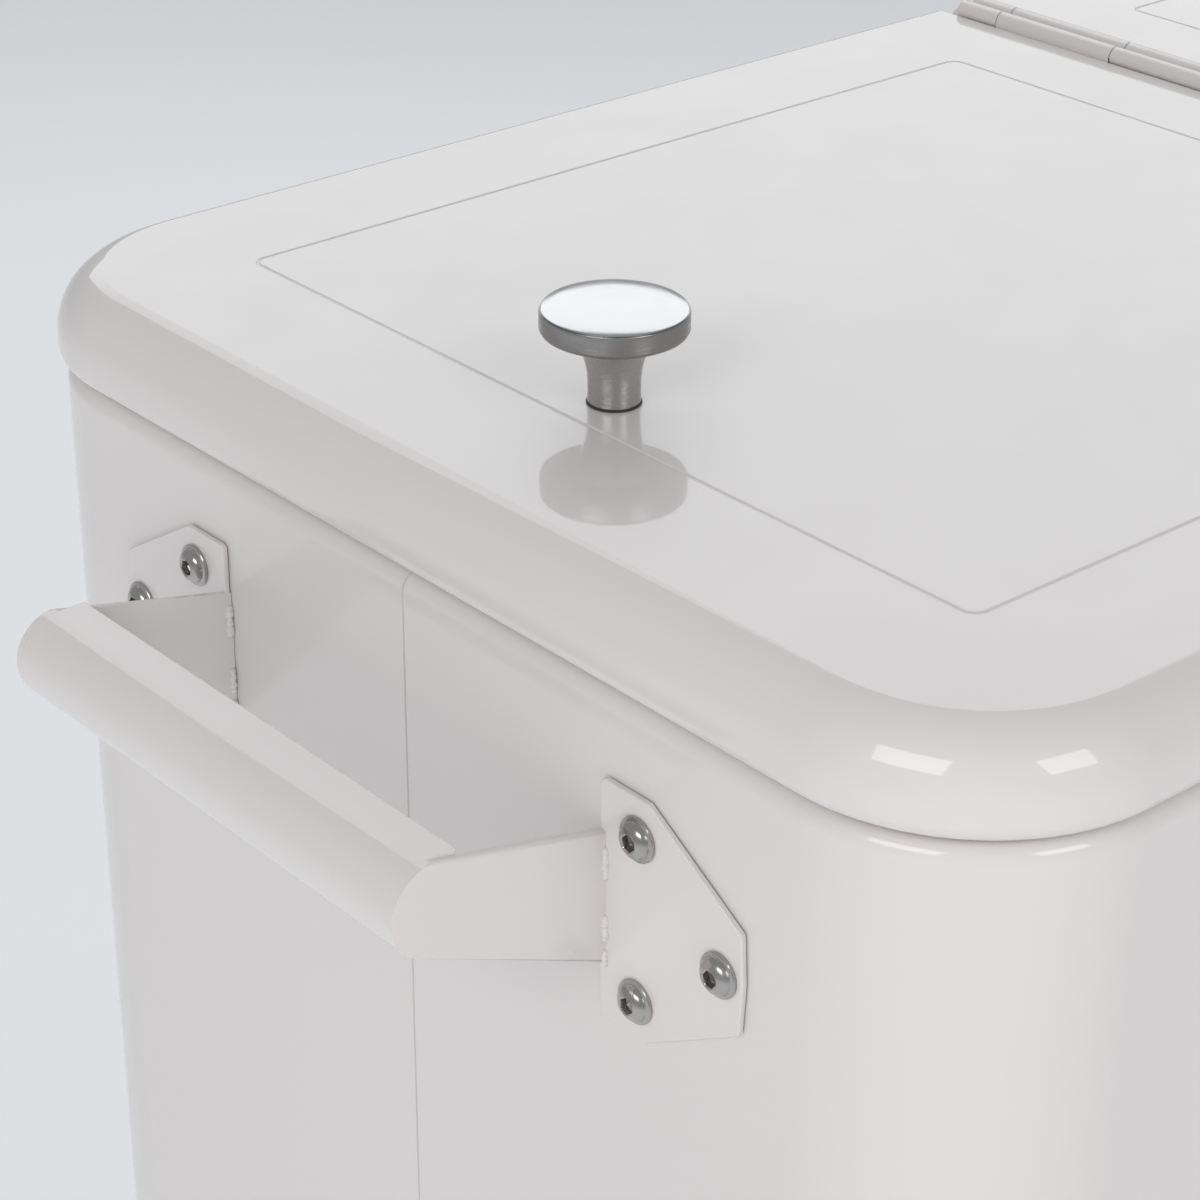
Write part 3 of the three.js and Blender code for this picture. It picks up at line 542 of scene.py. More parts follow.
def lid_gasket(end, turn):
    """A soft ring with a rounded section and a fine lip."""
    low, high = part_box("left_lid_gasket")
    bm = bmesh.new()
    width, height = 7 * MM, high.z - low.z
    corner = 39.4 * MM

    def outline(inset, z):
        points = [(high.x - inset, -high.y + inset)]
        points += arc((low.x + corner, -high.y + corner), corner - inset, 270, 180, 12)
        points += arc((low.x + corner, high.y - corner), corner - inset, 180, 90, 12)
        points += [(high.x - inset, high.y - inset)]
        return [(x, y, z) for x, y in points]

    shoulder, groove = low.z + height * 0.4, low.z + 0.9 * MM
    section = [(0, high.z), (0, shoulder), (0.8 * MM, low.z), (2.4 * MM, low.z), (3.0 * MM, groove)]
    section += [(4.0 * MM, groove), (4.6 * MM, low.z), (6.2 * MM, low.z), (width, shoulder), (width, high.z)]
    skin(bm, [outline(i, z) for i, z in section], rows_closed=True)
    piece(f"{end}_lid_seal", bm, f"{end}_lid_gasket", bevel=0.2 * MM, turn=turn)


def knob(end, turn):
    """A turned mushroom knob: a bright domed top, a satin rim whose darker colour is painted shade, and a
    waisted satin neck on a thin washer.
    """
    low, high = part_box("left_knob")
    centre = ((low.x + high.x) / 2, 0, lid_high.z)
    radius, height = (high.x - low.x) / 2, high.z - lid_high.z
    place = Matrix.Translation(centre)
    top = [(radius - 0.45 * MM, height - 1.25 * MM), (radius - 0.75 * MM, height - 1.0 * MM)]
    rise = 0.95 * MM
    dome = [(radius * math.cos(t), height - rise + rise * math.sin(t)) for t in (0.6, 0.9, 1.15, 1.35, 1.5)]
    base = height - 3 * MM
    bm = bmesh.new()
    lathe(bm, [(0, base), (radius - 0.9 * MM, base)] + top + dome + [(0, height)], 96, place)
    piece(f"{end}_knob_top", bm, f"{end}_knob", turn=turn, sharp=50)
    rim = [
        (0, height - 8 * MM), (14 * MM, height - 8.1 * MM), (radius - 1.6 * MM, height - 7.9 * MM),
        (radius - 0.5 * MM, height - 7.3 * MM), (radius, height - 6.4 * MM), (radius, height - 2.1 * MM),
        (radius - 0.25 * MM, height - 1.6 * MM), (radius - 1.0 * MM, height - 1.55 * MM),
        (0, height - 1.55 * MM),
    ]
    bm = bmesh.new()
    lathe(bm, rim, 96, place)
    piece(f"{end}_knob_rim", bm, f"{end}_knob", turn=turn, material=CHROME_RIM_PAINTED_SHADE, sharp=40)
    neck = [(0, 0.65 * MM), (6.9 * MM, 0.65 * MM), (7.0 * MM, 1.1 * MM), (6.85 * MM, 3 * MM)]
    neck += [(6.8 * MM + 4.6 * MM * t ** 2.6, 3 * MM + 16.3 * MM * t) for t in [k / 12 for k in range(3, 13)]]
    bm = bmesh.new()
    lathe(bm, neck + [(0, 19.3 * MM)], 64, place)
    piece(f"{end}_knob_neck", bm, f"{end}_knob", turn=turn, material=CHROME_NECK, sharp=40)
    bm = bmesh.new()
    lathe(bm, [(0, 0.05 * MM), (7.25 * MM, 0.05 * MM), (7.25 * MM, 0.6 * MM), (0, 0.6 * MM)], 64, place)
    piece(f"{end}_knob_washer", bm, f"{end}_knob", turn=turn, material=MATERIALS["wheel"], bevel=0.15 * MM)


for end, turn in (("left", False), ("right", True)):
    lid_shell(end, turn)
    lid_liner(end, turn)
    lid_gasket(end, turn)
    knob(end, turn)

# ---------------------------------------------------------------- push handles
ARM_OUT, ARM_IN = 79.5 * MM, 77.5 * MM
HANDLE_Z = 758 * MM
GRIP_RADIUS = 12.3 * MM
GRIP_SHEET = 1.6 * MM
PLATE_SHEET = 1.7 * MM
SCREW_SPOTS = [(91, 22.8), (91, -22.8), (119.5, 0)]
grip_low, grip_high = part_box("left_handle_grip")
GRIP_X, GRIP_Z = grip_low.x + GRIP_RADIUS, (grip_low.z + grip_high.z) / 2
END_WALL = -CHEST_X - 0.3 * MM
PLATE_FACE = END_WALL - PLATE_SHEET


def handle_grip(end, turn):
    """The folded channel between the arms: round in front and open towards the chest."""
    bm = bmesh.new()
    inner = GRIP_RADIUS - GRIP_SHEET
    section = [(grip_high.x, GRIP_Z + GRIP_RADIUS)] + arc((GRIP_X, GRIP_Z), GRIP_RADIUS, 90, 270, 32)
    section += [(grip_high.x, GRIP_Z - GRIP_RADIUS), (grip_high.x, GRIP_Z - inner)]
    section += arc((GRIP_X, GRIP_Z), inner, 270, 90, 32) + [(grip_high.x, GRIP_Z + inner)]
    prism(bm, [(x, -ARM_IN, z) for x, z in section], (0, 2 * ARM_IN, 0))
    piece(f"{end}_grip_channel", bm, f"{end}_handle_grip", bevel=0.35 * MM, sharp=40, turn=turn)


def arm_outline():
    half = 19 * MM
    points = [(END_WALL + 0.1 * MM, HANDLE_Z - half), (END_WALL + 0.1 * MM, HANDLE_Z + half)]
    return points + arc((GRIP_X, GRIP_Z), GRIP_RADIUS, 90, 270, 32)


def plate_outline(side):
    """The bracket's plate: straight beside the arm, sloping to a slightly crowned nose."""
    corners = [(77.5, -33.5), (94, -33.5), (126.2, -13.7), (127, 0), (126.2, 13.7), (94, 33.5), (77.5, 33.5)]
    flat = [(y * MM, z * MM) for y, z in corners]
    rounded = rounded_polygon(flat, 1.6 * MM, 3)
    return [(side * y, HANDLE_Z + z) for y, z in rounded]


def weld_beads(bm, side, random):
    """Short fillet welds where the arm meets its plate, on both faces of the arm."""
    for height, length in ((14, 9), (-5, 7), (-15, 5)):
        for face, reach in ((ARM_OUT, 1), (ARM_IN, -1)):
            beads = int(length / 1.4)
            for k in range(beads):
                z = HANDLE_Z + (height - k * 1.4 + random.uniform(-0.2, 0.2)) * MM
                size = random.uniform(0.9, 1.35) * MM
                x = PLATE_FACE - (0.1 if reach > 0 else -0.9) * MM
                spot = Matrix.Translation((x, side * (face + 0.1 * MM * reach), z))
                grow = Matrix.Diagonal((size, size * 0.9, size * 1.1, 1))
                bmesh.ops.create_icosphere(bm, subdivisions=3, radius=1, matrix=spot @ grow)


def handle_bracket(end, place, turn):
    side = -1 if (place == "front") != turn else 1
    node = f"{end}_{place}_handle_bracket"
    bm = bmesh.new()
    prism(bm, [(PLATE_FACE, y, z) for y, z in plate_outline(side)], (PLATE_SHEET, 0, 0))
    piece(f"{end}_{place}_bracket_plate", bm, node, bevel=0.4 * MM, sharp=40, turn=turn)
    bm = bmesh.new()
    start = ARM_IN - 0.2 * MM
    prism(bm, [(x, side * start, z) for x, z in arm_outline()], (0, side * (ARM_OUT - start), 0))
    outer = [e for e in bm.edges if all(abs(abs(v.co.y) - ARM_OUT) < 1e-6 for v in e.verts)]
    bmesh.ops.bevel(bm, geom=outer, offset=1.0 * MM, segments=4, affect="EDGES", profile=0.5)
    piece(f"{end}_{place}_arm", bm, node, sharp=50, turn=turn)
    bm = bmesh.new()
    weld_beads(bm, side, Random(17 + side + 5 * turn))
    piece(f"{end}_{place}_arm_weld", bm, node, sharp=180, turn=turn)


def hexagon(flats, height, count, turn=0.0):
    """Points round a hexagon, evenly spread by angle."""
    points = []
    for i in range(count):
        angle = TURN * i / count
        within = (angle - turn) % (TURN / 6) - TURN / 12
        reach = flats / 2 / math.cos(within)
        points.append((reach * math.cos(angle), reach * math.sin(angle), height))
    return points


def screw_head(bm, place, twist):
    """A flanged button head with a hexagon socket, standing along the local Z axis."""
    segments = 48
    rows = [(0.5, 0.0), (5.75, 0.0), (5.9, 0.15), (5.9, 0.7), (5.75, 0.9), (5.2, 1.02), (4.95, 1.15)]
    rows += [(4.85 * math.cos(t), 1.2 + 2.55 * math.sin(t)) for t in (0.15, 0.35, 0.55, 0.75, 0.92)]
    rows += [(2.55, 3.42), (2.35, 3.36)]
    loops = [[(r * MM * math.cos(TURN * i / segments), r * MM * math.sin(TURN * i / segments), z * MM)
              for i in range(segments)] for r, z in rows]
    loops += [hexagon(4.0 * MM, z * MM, segments, twist) for z in (3.2, 1.5)]
    loops += [[(0.3 * x, 0.3 * y, 1.15 * MM) for x, y, _ in hexagon(4.0 * MM, 0, segments, twist)]]
    placed = [[place @ Vector(p) for p in loop] for loop in loops]
    rings = skin(bm, placed)
    bm.faces.new(rings[-1])
    bm.faces.new(rings[0])


def handle_screws(end, place, turn):
    side = -1 if (place == "front") != turn else 1
    node = f"{end}_{place}_handle_screws"
    random = Random(5 + side + 3 * turn)
    for number, (y, z) in enumerate(SCREW_SPOTS):
        bm = bmesh.new()
        spot = along((-1, 0, 0), (PLATE_FACE - 0.05 * MM, side * y * MM, HANDLE_Z + z * MM))
        screw_head(bm, spot, random.uniform(0, TURN / 6))
        name = f"{end}_{place}_screw_{number + 1}"
        piece(name, bm, node, sharp=32, turn=turn)


for end, turn in (("left", False), ("right", True)):
    handle_grip(end, turn)
    for place in ("front", "rear"):
        handle_bracket(end, place, turn)
        handle_screws(end, place, turn)

# ---------------------------------------------------------------- hinge
HINGE_Z, HINGE_X = 841.2 * MM, 3.6 * MM
BARREL = 3.3 * MM
KNUCKLE_ENDS = [25.9, 105.3, 157.1, 175.6]
BASE_HALF, BASE_TOP = 4.7 * MM, 833.8 * MM


def knuckles(moving):
    ends = [-y for y in reversed(KNUCKLE_ENDS)] + KNUCKLE_ENDS
    spans = [((a + 0.2) * MM, (b - 0.2) * MM) for a, b in zip(ends, ends[1:])]
    return [span for i, span in enumerate(spans) if (i % 2 == 1) == moving]


def barrel(bm, x, span):
    """A rolled knuckle: a tube with softened ends."""
    y0, y1 = span
    soft, bore = 0.3 * MM, 1.75 * MM
    length = y1 - y0
    profile = [(bore, 0), (BARREL - soft, 0), (BARREL, soft)]
    profile += [(BARREL, length - soft), (BARREL - soft, length), (bore, length)]
    lathe(bm, profile, 40, along((0, 1, 0), (x, y0, HINGE_Z)), closed=True)


def fixed_leaf():
    bm = bmesh.new()
    end = KNUCKLE_ENDS[-1] * MM
    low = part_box("hinge_fixed_leaf")[0]
    block(bm, (-BASE_HALF, -end, low.z), (BASE_HALF, end, BASE_TOP))
    piece("hinge_base", bm, "hinge_fixed_leaf", bevel=0.3 * MM)
    bm = bmesh.new()
    for y0, y1 in knuckles(False):
        block(bm, (-BASE_HALF, y0, BASE_TOP - 0.3 * MM), (BASE_HALF, y1, HINGE_Z + 1 * MM))
    piece("hinge_posts", bm, "hinge_fixed_leaf", bevel=0.3 * MM)
    bm = bmesh.new()
    for span in knuckles(False):
        for side in (-1, 1):
            barrel(bm, side * HINGE_X, span)
    piece("hinge_fixed_knuckles", bm, "hinge_fixed_leaf", sharp=30)


def moving_leaf(end, turn):
    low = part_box("left_hinge_leaf")[0]
    bm = bmesh.new()
    reach = KNUCKLE_ENDS[-1] * MM
    plate = (low.x, low.x + 1.2 * MM)
    block(bm, (plate[0], -reach, low.z), (plate[1], reach, HINGE_Z - BARREL - 1.2 * MM))
    for y0, y1 in knuckles(True):
        block(bm, (plate[0], y0, HINGE_Z - BARREL - 3 * MM), (plate[1], y1, HINGE_Z))
    piece(f"{end}_hinge_plate", bm, f"{end}_hinge_leaf", bevel=0.25 * MM, turn=turn)
    bm = bmesh.new()
    for span in knuckles(True):
        barrel(bm, -HINGE_X, span)
    piece(f"{end}_hinge_knuckles", bm, f"{end}_hinge_leaf", sharp=30, turn=turn)


def hinge_pin(side, name):
    """A steel pin with domed ends."""
    low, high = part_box(name)
    bm = bmesh.new()
    length, radius = high.y - low.y, 1.5 * MM
    dome = [(radius * math.cos(t), 0.5 * MM * math.sin(t)) for t in (0, 0.4, 0.8, 1.2)]
    start = [(r, 0.5 * MM - h) for r, h in reversed(dome)]
    finish = [(r, length - 0.5 * MM + h) for r, h in dome]
    place = along((0, 1, 0), (side * HINGE_X, low.y, HINGE_Z))
    lathe(bm, [(0, 0)] + start + finish + [(0, length)], 32, place)
    piece(name + "_rod", bm, name, sharp=50)


fixed_leaf()
hinge_pin(-1, "hinge_pin_left")
hinge_pin(1, "hinge_pin_right")
for end, turn in (("left", False), ("right", True)):
    moving_leaf(end, turn)

# ---------------------------------------------------------------- legs and shelf
LEG_INSET = 3 * MM
LEG_SHEET = 2.2 * MM


def shell(name, bm, node, thickness):
    """A sheet piece whose faces already look outwards, thickened inwards with softened edges."""
    mesh = bpy.data.meshes.new(name)
    bm.to_mesh(mesh)
    bm.free()
    obj = bpy.data.objects.new(name, mesh)
    bpy.context.scene.collection.objects.link(obj)
    solidify = obj.modifiers.new("thickness", "SOLIDIFY")
    solidify.thickness = thickness
    solidify.offset = -1
    shaped = bpy.data.meshes.new_from_object(obj.evaluated_get(bpy.context.evaluated_depsgraph_get()))
    bpy.data.objects.remove(obj)
    thick = bmesh.new()
    thick.from_mesh(shaped)
    return piece(name, thick, node, bevel=0.45 * MM, sharp=40)


def leg(place, end):
    """A corner of bent sheet with softened edges, on a flat foot."""
    name = f"{place}_{end}_leg"
    side_x, side_y = (-1 if end == "left" else 1), (-1 if place == "front" else 1)
    low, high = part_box(name)
    radius = CHEST_RADIUS - LEG_INSET
    corner = (side_x * (CHEST_X - CHEST_RADIUS), side_y * (CHEST_Y - CHEST_RADIUS))
    far_x = side_x * (CHEST_X - 92 * MM)
    far_y = side_y * (CHEST_Y - 76 * MM)
    curve = [(corner[0] + side_x * radius * math.cos(a), corner[1] + side_y * radius * math.sin(a))
             for a in [TURN / 4 * k / 16 for k in range(17)]]
    path = [(corner[0] + side_x * radius, far_y)] + curve + [(far_x, corner[1] + side_y * radius)]
    bm = bmesh.new()
    heights = (low.z, low.z + 40 * MM, high.z - 40 * MM, high.z)
    skin(bm, [[(x, y, z) for x, y in path] for z in heights], around=False)
    bmesh.ops.recalc_face_normals(bm, faces=bm.faces)
    outward = sum(f.normal.dot(Vector((side_x, side_y, 0))) for f in bm.faces)
    if outward < 0:
        bmesh.ops.reverse_faces(bm, faces=bm.faces)
    shell(name + "_sheet", bm, name, LEG_SHEET)
    bm = bmesh.new()
    inner = 0.9 * MM
    foot = [(x - side_x * inner, y - side_y * inner) for x, y in path + [(far_x, far_y)]]
    prism(bm, [(x, y, low.z) for x, y in foot], (0, 0, 3 * MM))
    piece(name + "_foot", bm, name, bevel=0.4 * MM, sharp=40)


def shelf():
    low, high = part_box("shelf")
    inset = CHEST_X - high.x
    bend = 4 * MM
    bm = bmesh.new()
    rows = [(inset, low.z), (inset, high.z - bend)] + arc((inset + bend, high.z - bend), bend, 180, 90, 8)
    groove = high.z - 0.8 * MM
    rows += [(inset + 18 * MM, high.z), (inset + 20 * MM, groove)]
    rows += [(inset + 23 * MM, groove), (inset + 25 * MM, high.z)]
    rings = skin(bm, [chest_outline(i, z) for i, z in rows])
    bm.faces.new(rings[-1])
    piece("shelf_tray", bm, "shelf", thick=1.2 * MM, sharp=25)


shelf()
for place in ("front", "rear"):
    for end in ("left", "right"):
        leg(place, end)

# ---------------------------------------------------------------- casters
CASTER_X, CASTER_Y = 339.6 * MM, 151.2 * MM
TRAIL, WHEEL_RADIUS = 20 * MM, 32 * MM
CHEEK = (11.3 * MM, 13.5 * MM)


def caster_plate(name, at):
    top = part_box(name)[1].z
    bm = bmesh.new()
    outline = rounded_rect(30 * MM, 27 * MM, 5 * MM, at)
    prism(bm, [(x, y, top - 2.5 * MM) for x, y in outline], (0, 0, 2.5 * MM))
    piece(name + "_pressing", bm, name, bevel=0.5 * MM, sharp=40)
    bm = bmesh.new()
    race = [(0, -2.9), (14.2, -2.9), (15, -2.2), (15, -0.6), (14.4, 0), (0, 0)]
    lathe(bm, [(r * MM, z * MM) for r, z in race], 56, Matrix.Translation((*at, top - 2.5 * MM)))
    piece(name + "_race", bm, name, sharp=40)
    for number, (sx, sy) in enumerate(((1, 1), (-1, 1), (-1, -1), (1, -1))):
        bm = bmesh.new()
        spot = (at[0] + sx * 23 * MM, at[1] + sy * 20 * MM)
        rows = [hexagon(7 * MM, top - h * MM, 6, 0.3 * number) for h in (2.45, 5.2)]
        cap = hexagon(6.2 * MM, top - 5.7 * MM, 6, 0.3 * number)
        rings = skin(bm, [[(x + spot[0], y + spot[1], z) for x, y, z in loop] for loop in (*rows, cap)])
        bm.faces.new(rings[0])
        bm.faces.new(rings[-1])
        piece(f"{name}_bolt_{number + 1}", bm, name, bevel=0.25 * MM, sharp=30)


def cheek_outline(at):
    points = [(-16, 71), (-16, 62), (12, 29)]
    points += arc((20, 32), 8.5, 201.6, 349.2, 14) + [(38, 60), (38, 71)]
    return [(at[0] + x * MM, z * MM) for x, z in points]


def caster_fork(name, at):
    bm = bmesh.new()
    block(bm, (at[0] - 16 * MM, at[1] - CHEEK[1], 68.5 * MM), (at[0] + 38 * MM, at[1] + CHEEK[1], 71 * MM))
    for side in (-1, 1):
        outline = [(x, at[1] + side * CHEEK[0], z) for x, z in cheek_outline(at)]
        prism(bm, outline, (0, side * (CHEEK[1] - CHEEK[0]), 0))
    piece(name + "_pressing", bm, name, bevel=0.6 * MM, sharp=25)
    bm = bmesh.new()
    cup = [(0, 71), (14.4, 71), (15, 71.8), (15, 75.2), (14.4, 76.4), (13, 77.4), (11, 78), (0, 78)]
    lathe(bm, [(r * MM, z * MM) for r, z in cup], 56, Matrix.Translation((*at, 0)))
    piece(name + "_bearing", bm, name, sharp=40)


def caster_axle(name, at):
    low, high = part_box(name)
    for side in (-1, 1):
        bm = bmesh.new()
        place = along((0, side, 0), (at[0] + TRAIL, at[1] + side * (CHEEK[1] + 0.1 * MM), WHEEL_RADIUS))
        reach = (high.y - low.y) / 2 - CHEEK[1] - 0.1 * MM
        if side > 0:
            loops = [hexagon(9 * MM, h, 24, 0.2) for h in (0, reach - 0.4 * MM)]
            loops.append(hexagon(8.2 * MM, reach, 24, 0.2))
            rings = skin(bm, [[place @ Vector(p) for p in loop] for loop in loops])
            bm.faces.new(rings[0])
            bm.faces.new(rings[-1])
        else:
            dome = [(5.2 * MM * math.cos(t), reach * math.sin(t)) for t in (0.3, 0.6, 0.9, 1.2)]
            lathe(bm, [(0, 0), (5.2 * MM, 0)] + dome + [(0, reach)], 40, place)
        piece(f"{name}_{'nut' if side > 0 else 'head'}", bm, name, sharp=30)
    bm = bmesh.new()
    lathe(bm, [(0, 0), (3 * MM, 0), (3 * MM, 2 * CHEEK[1]), (0, 2 * CHEEK[1])], 32,
          along((0, 1, 0), (at[0] + TRAIL, at[1] - CHEEK[1], WHEEL_RADIUS)))
    piece(name + "_shank", bm, name, sharp=40)


def caster_wheel(name, at):
    """A moulded wheel: a hub, a recessed web with ribs and a soft tread with rounded shoulders."""
    half = [(3.3, 10), (7.2, 10), (8, 9.4), (8.6, 7.4), (9.4, 6.8)]
    half += [(21.6, 6.8), (22.6, 7.2), (23.4, 9.2), (24.2, 9.6)]
    half += [(28.6, 9.6), (30.2, 9.0), (31.3, 7.4), (31.8, 5.2), (32, 2.4)]
    profile = [(r, -y) for r, y in half] + [(r, y) for r, y in reversed(half)]
    place = along((0, 1, 0), (at[0] + TRAIL, at[1], WHEEL_RADIUS))
    bm = bmesh.new()
    lathe(bm, [(r * MM, y * MM) for r, y in profile], 96, place, closed=True)
    piece(name + "_tread", bm, name, sharp=35)
    bm = bmesh.new()
    for k in range(10):
        spin = Matrix.Rotation(TURN * k / 10, 4, "Z")
        for side in (-1, 1):
            corners = [(8.2, -0.8), (22.6, -0.6), (22.6, 0.6), (8.2, 0.8)]
            low = [place @ spin @ Vector((x * MM, y * MM, side * 6.5 * MM)) for x, y in corners]
            up = place.to_3x3() @ Vector((0, 0, side * 2.3 * MM))
            prism(bm, low, up)
    piece(name + "_ribs", bm, name, bevel=0.3 * MM, sharp=40)


def brake_lever(name, at):
    points = [(29.5, 66.5), (30, 62.6), (35.5, 61), (46, 58.5), (58, 56), (59, 58.5), (47, 62.5), (36, 67.5)]
    outline = rounded_polygon(points, 0.8, 3)
    bm = bmesh.new()
    half = CHEEK[0] - 0.3 * MM
    prism(bm, [(at[0] + x * MM, at[1] - half, z * MM) for x, z in outline], (0, 2 * half, 0))
    piece(name + "_pedal", bm, name, bevel=0.5 * MM, sharp=35)
    bm = bmesh.new()
    for k in range(5):
        x = at[0] + (47.5 + 2.1 * k) * MM
        z = (62.3 - 0.74 * k) * MM
        block(bm, (x, at[1] - half * 0.8, z - 1.2 * MM), (x + 0.9 * MM, at[1] + half * 0.8, z + 0.15 * MM))
    piece(name + "_treads", bm, name, bevel=0.2 * MM)
    bm = bmesh.new()
    length, soft, radius = 2 * CHEEK[1], 0.2 * MM, 1.6 * MM
    pin = [(0, 0), (radius - soft, 0), (radius, soft)]
    pin += [(radius, length - soft), (radius - soft, length), (0, length)]
    lathe(bm, pin, 24, along((0, 1, 0), (at[0] + 32.5 * MM, at[1] - CHEEK[1], 64.5 * MM)))
    piece(name + "_pin", bm, name, sharp=40)


for place in ("front", "rear"):
    for end in ("left", "right"):
        at = (CASTER_X * (-1 if end == "left" else 1), CASTER_Y * (-1 if place == "front" else 1))
        caster_plate(f"{place}_{end}_caster_plate", at)
        caster_fork(f"{place}_{end}_caster_fork", at)
        caster_axle(f"{place}_{end}_caster_axle", at)
        caster_wheel(f"{place}_{end}_caster_wheel", at)
        if place == "front":
            brake_lever(f"{place}_{end}_brake_lever", at)

# ---------------------------------------------------------------- drain and front fittings
DRAIN_AT = (300 * MM, CHEST_Y, 492 * MM)
FRONT = -CHEST_Y


def drain():
    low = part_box("drain_spout")[0]
    start = (low.y - CHEST_Y) / MM
    profile = [(8, start), (10, start), (10, 0.4), (14.2, 0.4), (15, 1.0)]
    profile += [(15, 2.4), (14.4, 3), (10.4, 3.2), (10, 3.6)]
    for k in range(6):
        profile += [(10, 8 + 3 * k), (10.25, 8.7 + 3 * k), (10, 9.4 + 3 * k)]
    profile += [(10, 29.4), (9.6, 30), (8.4, 30), (8, 29.6)]
    bm = bmesh.new()
    lathe(bm, [(r * MM, y * MM) for r, y in profile], 64, along((0, 1, 0), DRAIN_AT), closed=True)
    piece("drain_spout_moulding", bm, "drain_spout", sharp=40)
    bm = bmesh.new()
    reach = (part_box("drain_cap")[1].y - CHEST_Y) / MM
    wall = [(10.35, reach - 3), (10.35, 10.4), (10.7, 10), (13.0, 10), (13.3, 10.4), (13.3, 12)]
    inner = [(0, reach - 3)] + wall
    ribs = 28
    segments = ribs * 4
    profile = inner + [(13.4, 12.6), (13.4, reach - 2.2), (12.8, reach - 0.9), (11.8, reach - 0.3)]
    profile += [(9.4, reach), (8.8, reach - 0.5), (0, reach - 0.5)]
    place = along((0, 1, 0), DRAIN_AT)
    lathe(bm, [(r * MM, y * MM) for r, y in profile], segments, place)
    turned = place.inverted()
    for vertex in bm.verts:
        spot = turned @ vertex.co
        radius = math.hypot(spot.x, spot.y)
        if radius > 13.35 * MM:
            wave = 0.5 + 0.5 * math.cos(ribs * math.atan2(spot.y, spot.x))
            share = (radius + 0.6 * MM * wave ** 0.7) / radius
            vertex.co = place @ Vector((spot.x * share, spot.y * share, spot.z))
    piece("drain_cap_moulding", bm, "drain_cap", sharp=40)


def bottle_opener():
    low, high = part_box("bottle_opener")
    z = (low.z + high.z) / 2
    bm = bmesh.new()
    outline = rounded_rect(23 * MM, 34 * MM, 6 * MM, (0, z), 8)
    prism(bm, [(x, FRONT - 2.8 * MM, v) for x, v in outline], (0, 2.5 * MM, 0))
    piece("opener_plate", bm, "bottle_opener", bevel=0.7 * MM, sharp=40)
    for name, half, section in (
        ("opener_hook", 15, [(2, 15), (14, 12), (20, 2), (20, -3), (17, -3), (16.5, 1), (12, 8.5), (2, 10.5)]),
        ("opener_lip", 13, [(2, -8), (9, -10), (9, -13), (2, -14)]),
    ):
        bm = bmesh.new()
        outline = rounded_polygon(section, 1.0, 4) if name == "opener_lip" else section
        prism(bm, [(-half * MM, FRONT - out * MM, z + up * MM) for out, up in outline], (2 * half * MM, 0, 0))
        piece(name, bm, "bottle_opener", bevel=0.8 * MM, sharp=20)
    for sign in (-1, 1):
        bm = bmesh.new()
        head = [(0, 0), (4.2, 0), (4.2, 0.3), (3.6, 1.1), (2.4, 1.6), (1.2, 1.75), (1.0, 1.2), (0, 1.2)]
        spot = along((0, -1, 0), (0, FRONT - 2.75 * MM, z + sign * 25.5 * MM))
        lathe(bm, [(r * MM, h * MM) for r, h in head], 40, spot)
        piece(f"opener_screw_{'upper' if sign > 0 else 'lower'}", bm, "bottle_opener", sharp=35)


def catcher_hanger():
    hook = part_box("cap_catcher")[1].z - 12 * MM
    low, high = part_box("catcher_hanger")
    section = [(0.3, -20), (0.3, 6), (1.7, 6), (1.7, -6), (3.8, -6)]
    section += [(3.8, 4), (5.2, 4), (5.2, -7.5), (1.7, -7.5), (1.7, -20)]
    bm = bmesh.new()
    prism(bm, [(low.x, FRONT - out * MM, hook + up * MM) for out, up in section], (high.x - low.x, 0, 0))
    piece("hanger_strip", bm, "catcher_hanger", bevel=0.25 * MM, sharp=40)
    for sign in (-1, 1):
        bm = bmesh.new()
        lathe(bm, [(0, 0), (2.6 * MM, 0), (2.4 * MM, 0.9 * MM), (1.4 * MM, 1.35 * MM), (0, 1.5 * MM)], 32,
              along((0, -1, 0), (sign * 22 * MM, FRONT - 1.7 * MM, hook - 14 * MM)))
        piece(f"hanger_rivet_{'right' if sign > 0 else 'left'}", bm, "catcher_hanger", sharp=50)


def cap_catcher():
    low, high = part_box("cap_catcher")
    back = FRONT - 5.6 * MM
    depth = back - low.y
    centre = (0, (back + low.y) / 2)
    half_x = high.x
    bm = bmesh.new()
    rows = [(8, 0), (2.5, 0), (1.2, 0.4), (0.4, 1.2), (0, 2.5), (0, 92)]
    rows += [(0, 94.9), (0.25, 95.7), (0.65, 96), (1.05, 95.7), (1.3, 94.9)]
    rows += [(1.3, 3), (2.2, 1.6), (8, 1.3)]
    loops = []
    for inset, z in rows:
        pull = inset * MM
        outline = rounded_rect(half_x - pull, depth / 2 - pull, max(8 * MM - pull, 2 * MM), centre, 8)
        loops.append([(x, y, low.z + z * MM) for x, y in outline])
    rings = skin(bm, loops)
    bm.faces.new(rings[0])
    bm.faces.new(rings[-1])
    piece("catcher_box", bm, "cap_catcher", sharp=35)
    bm = bmesh.new()
    top = high.z / MM
    section = [(6.9, top - 1.3), (3.3, top - 1.3), (3.3, top - 16), (2.1, top - 16), (2.1, top), (6.9, top)]
    prism(bm, [(-28 * MM, FRONT - out * MM, z * MM) for out, z in section], (56 * MM, 0, 0))
    piece("catcher_lip", bm, "cap_catcher", bevel=0.3 * MM, sharp=40)


drain()
bottle_opener()
catcher_hanger()
cap_catcher()

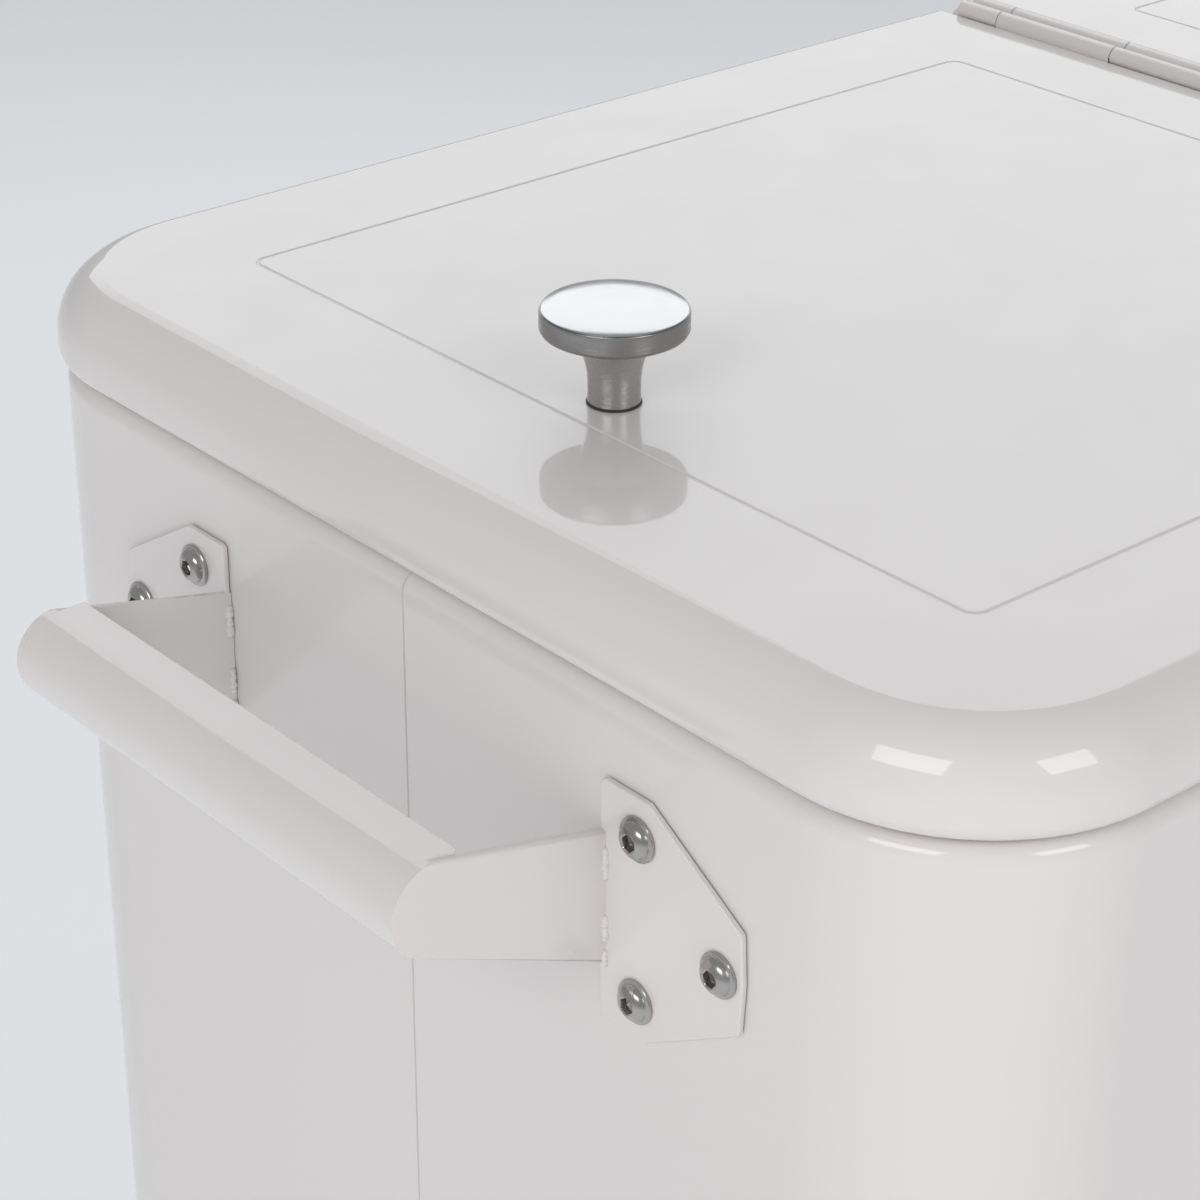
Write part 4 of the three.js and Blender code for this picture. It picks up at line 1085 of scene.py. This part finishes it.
# ---------------------------------------------------------------- stage and light
def floor():
    bm = bmesh.new()
    bmesh.ops.create_grid(bm, x_segments=1, y_segments=1, size=12)
    mesh = bpy.data.meshes.new("studio_floor")
    bm.to_mesh(mesh)
    bm.free()
    obj = bpy.data.objects.new("studio_floor", mesh)
    bpy.context.scene.collection.objects.link(obj)
    material, shader = new_material("studio_paper", (0.80, 0.81, 0.83), 0.9)
    vary(material, shader, "Base Color", noise(material, 1.5), (0.79, 0.80, 0.82), (0.81, 0.82, 0.84))
    shader.inputs["Emission Color"].default_value = (0.96, 0.98, 1.0, 1)
    shader.inputs["Emission Strength"].default_value = 0.20
    mesh.materials.append(material)


def area_light(name, place, target, size, power, color=(1, 1, 1)):
    data = bpy.data.lights.new(name, "AREA")
    data.shape = "RECTANGLE"
    data.size, data.size_y = size
    data.energy = power
    data.color = color
    obj = bpy.data.objects.new(name, data)
    bpy.context.scene.collection.objects.link(obj)
    direction = Vector(target) - Vector(place)
    obj.matrix_world = Matrix.Translation(place) @ direction.to_track_quat("-Z", "Y").to_matrix().to_4x4()
    return obj


def world(color, strength):
    data = bpy.data.worlds.new("studio")
    data.use_nodes = True
    background = data.node_tree.nodes["Background"]
    background.inputs["Color"].default_value = (*color, 1)
    background.inputs["Strength"].default_value = strength
    bpy.context.scene.world = data


# The lid corner nearest the camera, which mirrors the two softboxes.
NEAR_CORNER = Vector((-0.37, -0.17, 0.83))


def towards(azimuth, elevation, distance, origin=NEAR_CORNER):
    """A point seen from the origin at an azimuth from +X and an elevation, in degrees."""
    turn, rise = math.radians(azimuth), math.radians(elevation)
    direction = Vector((math.cos(turn) * math.cos(rise), math.sin(turn) * math.cos(rise), math.sin(rise)))
    return origin + direction * distance


def panel(name, azimuth, elevation, distance, size, radiance, color=(1, 1, 1)):
    """A softbox of a stated brightness that faces the near corner."""
    power = radiance * math.pi * size[0] * size[1]
    return area_light(name, towards(azimuth, elevation, distance), NEAR_CORNER, size, power, color)


floor()
world((0.96, 0.975, 1.0), 0.42)
panel("back_panel", 49, 31, 3.0, (3.6, 1.9), 1.15, (0.98, 0.99, 1.0))
panel("left_softbox", -165, 33, 2.2, (1.25, 0.8), 3.5, (0.98, 0.99, 1.0))
panel("front_softbox", -86, 31, 2.2, (0.9, 0.75), 3.4, (0.98, 0.99, 1.0))
fills = [
    panel("left_fill", -165, 8, 3.2, (3.0, 1.6), 0.65, (1.0, 0.985, 0.97)),
    panel("front_fill", -80, 8, 3.2, (3.0, 1.6), 0.45, (1.0, 0.985, 0.97)),
    panel("corner_fill", -137, 0, 1.0, (0.8, 0.5), 1.25, (1.0, 0.985, 0.97)),
]
for fill in fills:
    fill.visible_glossy = False
bpy.context.scene.view_settings.view_transform = "Standard"
bpy.context.scene.view_settings.look = "None"
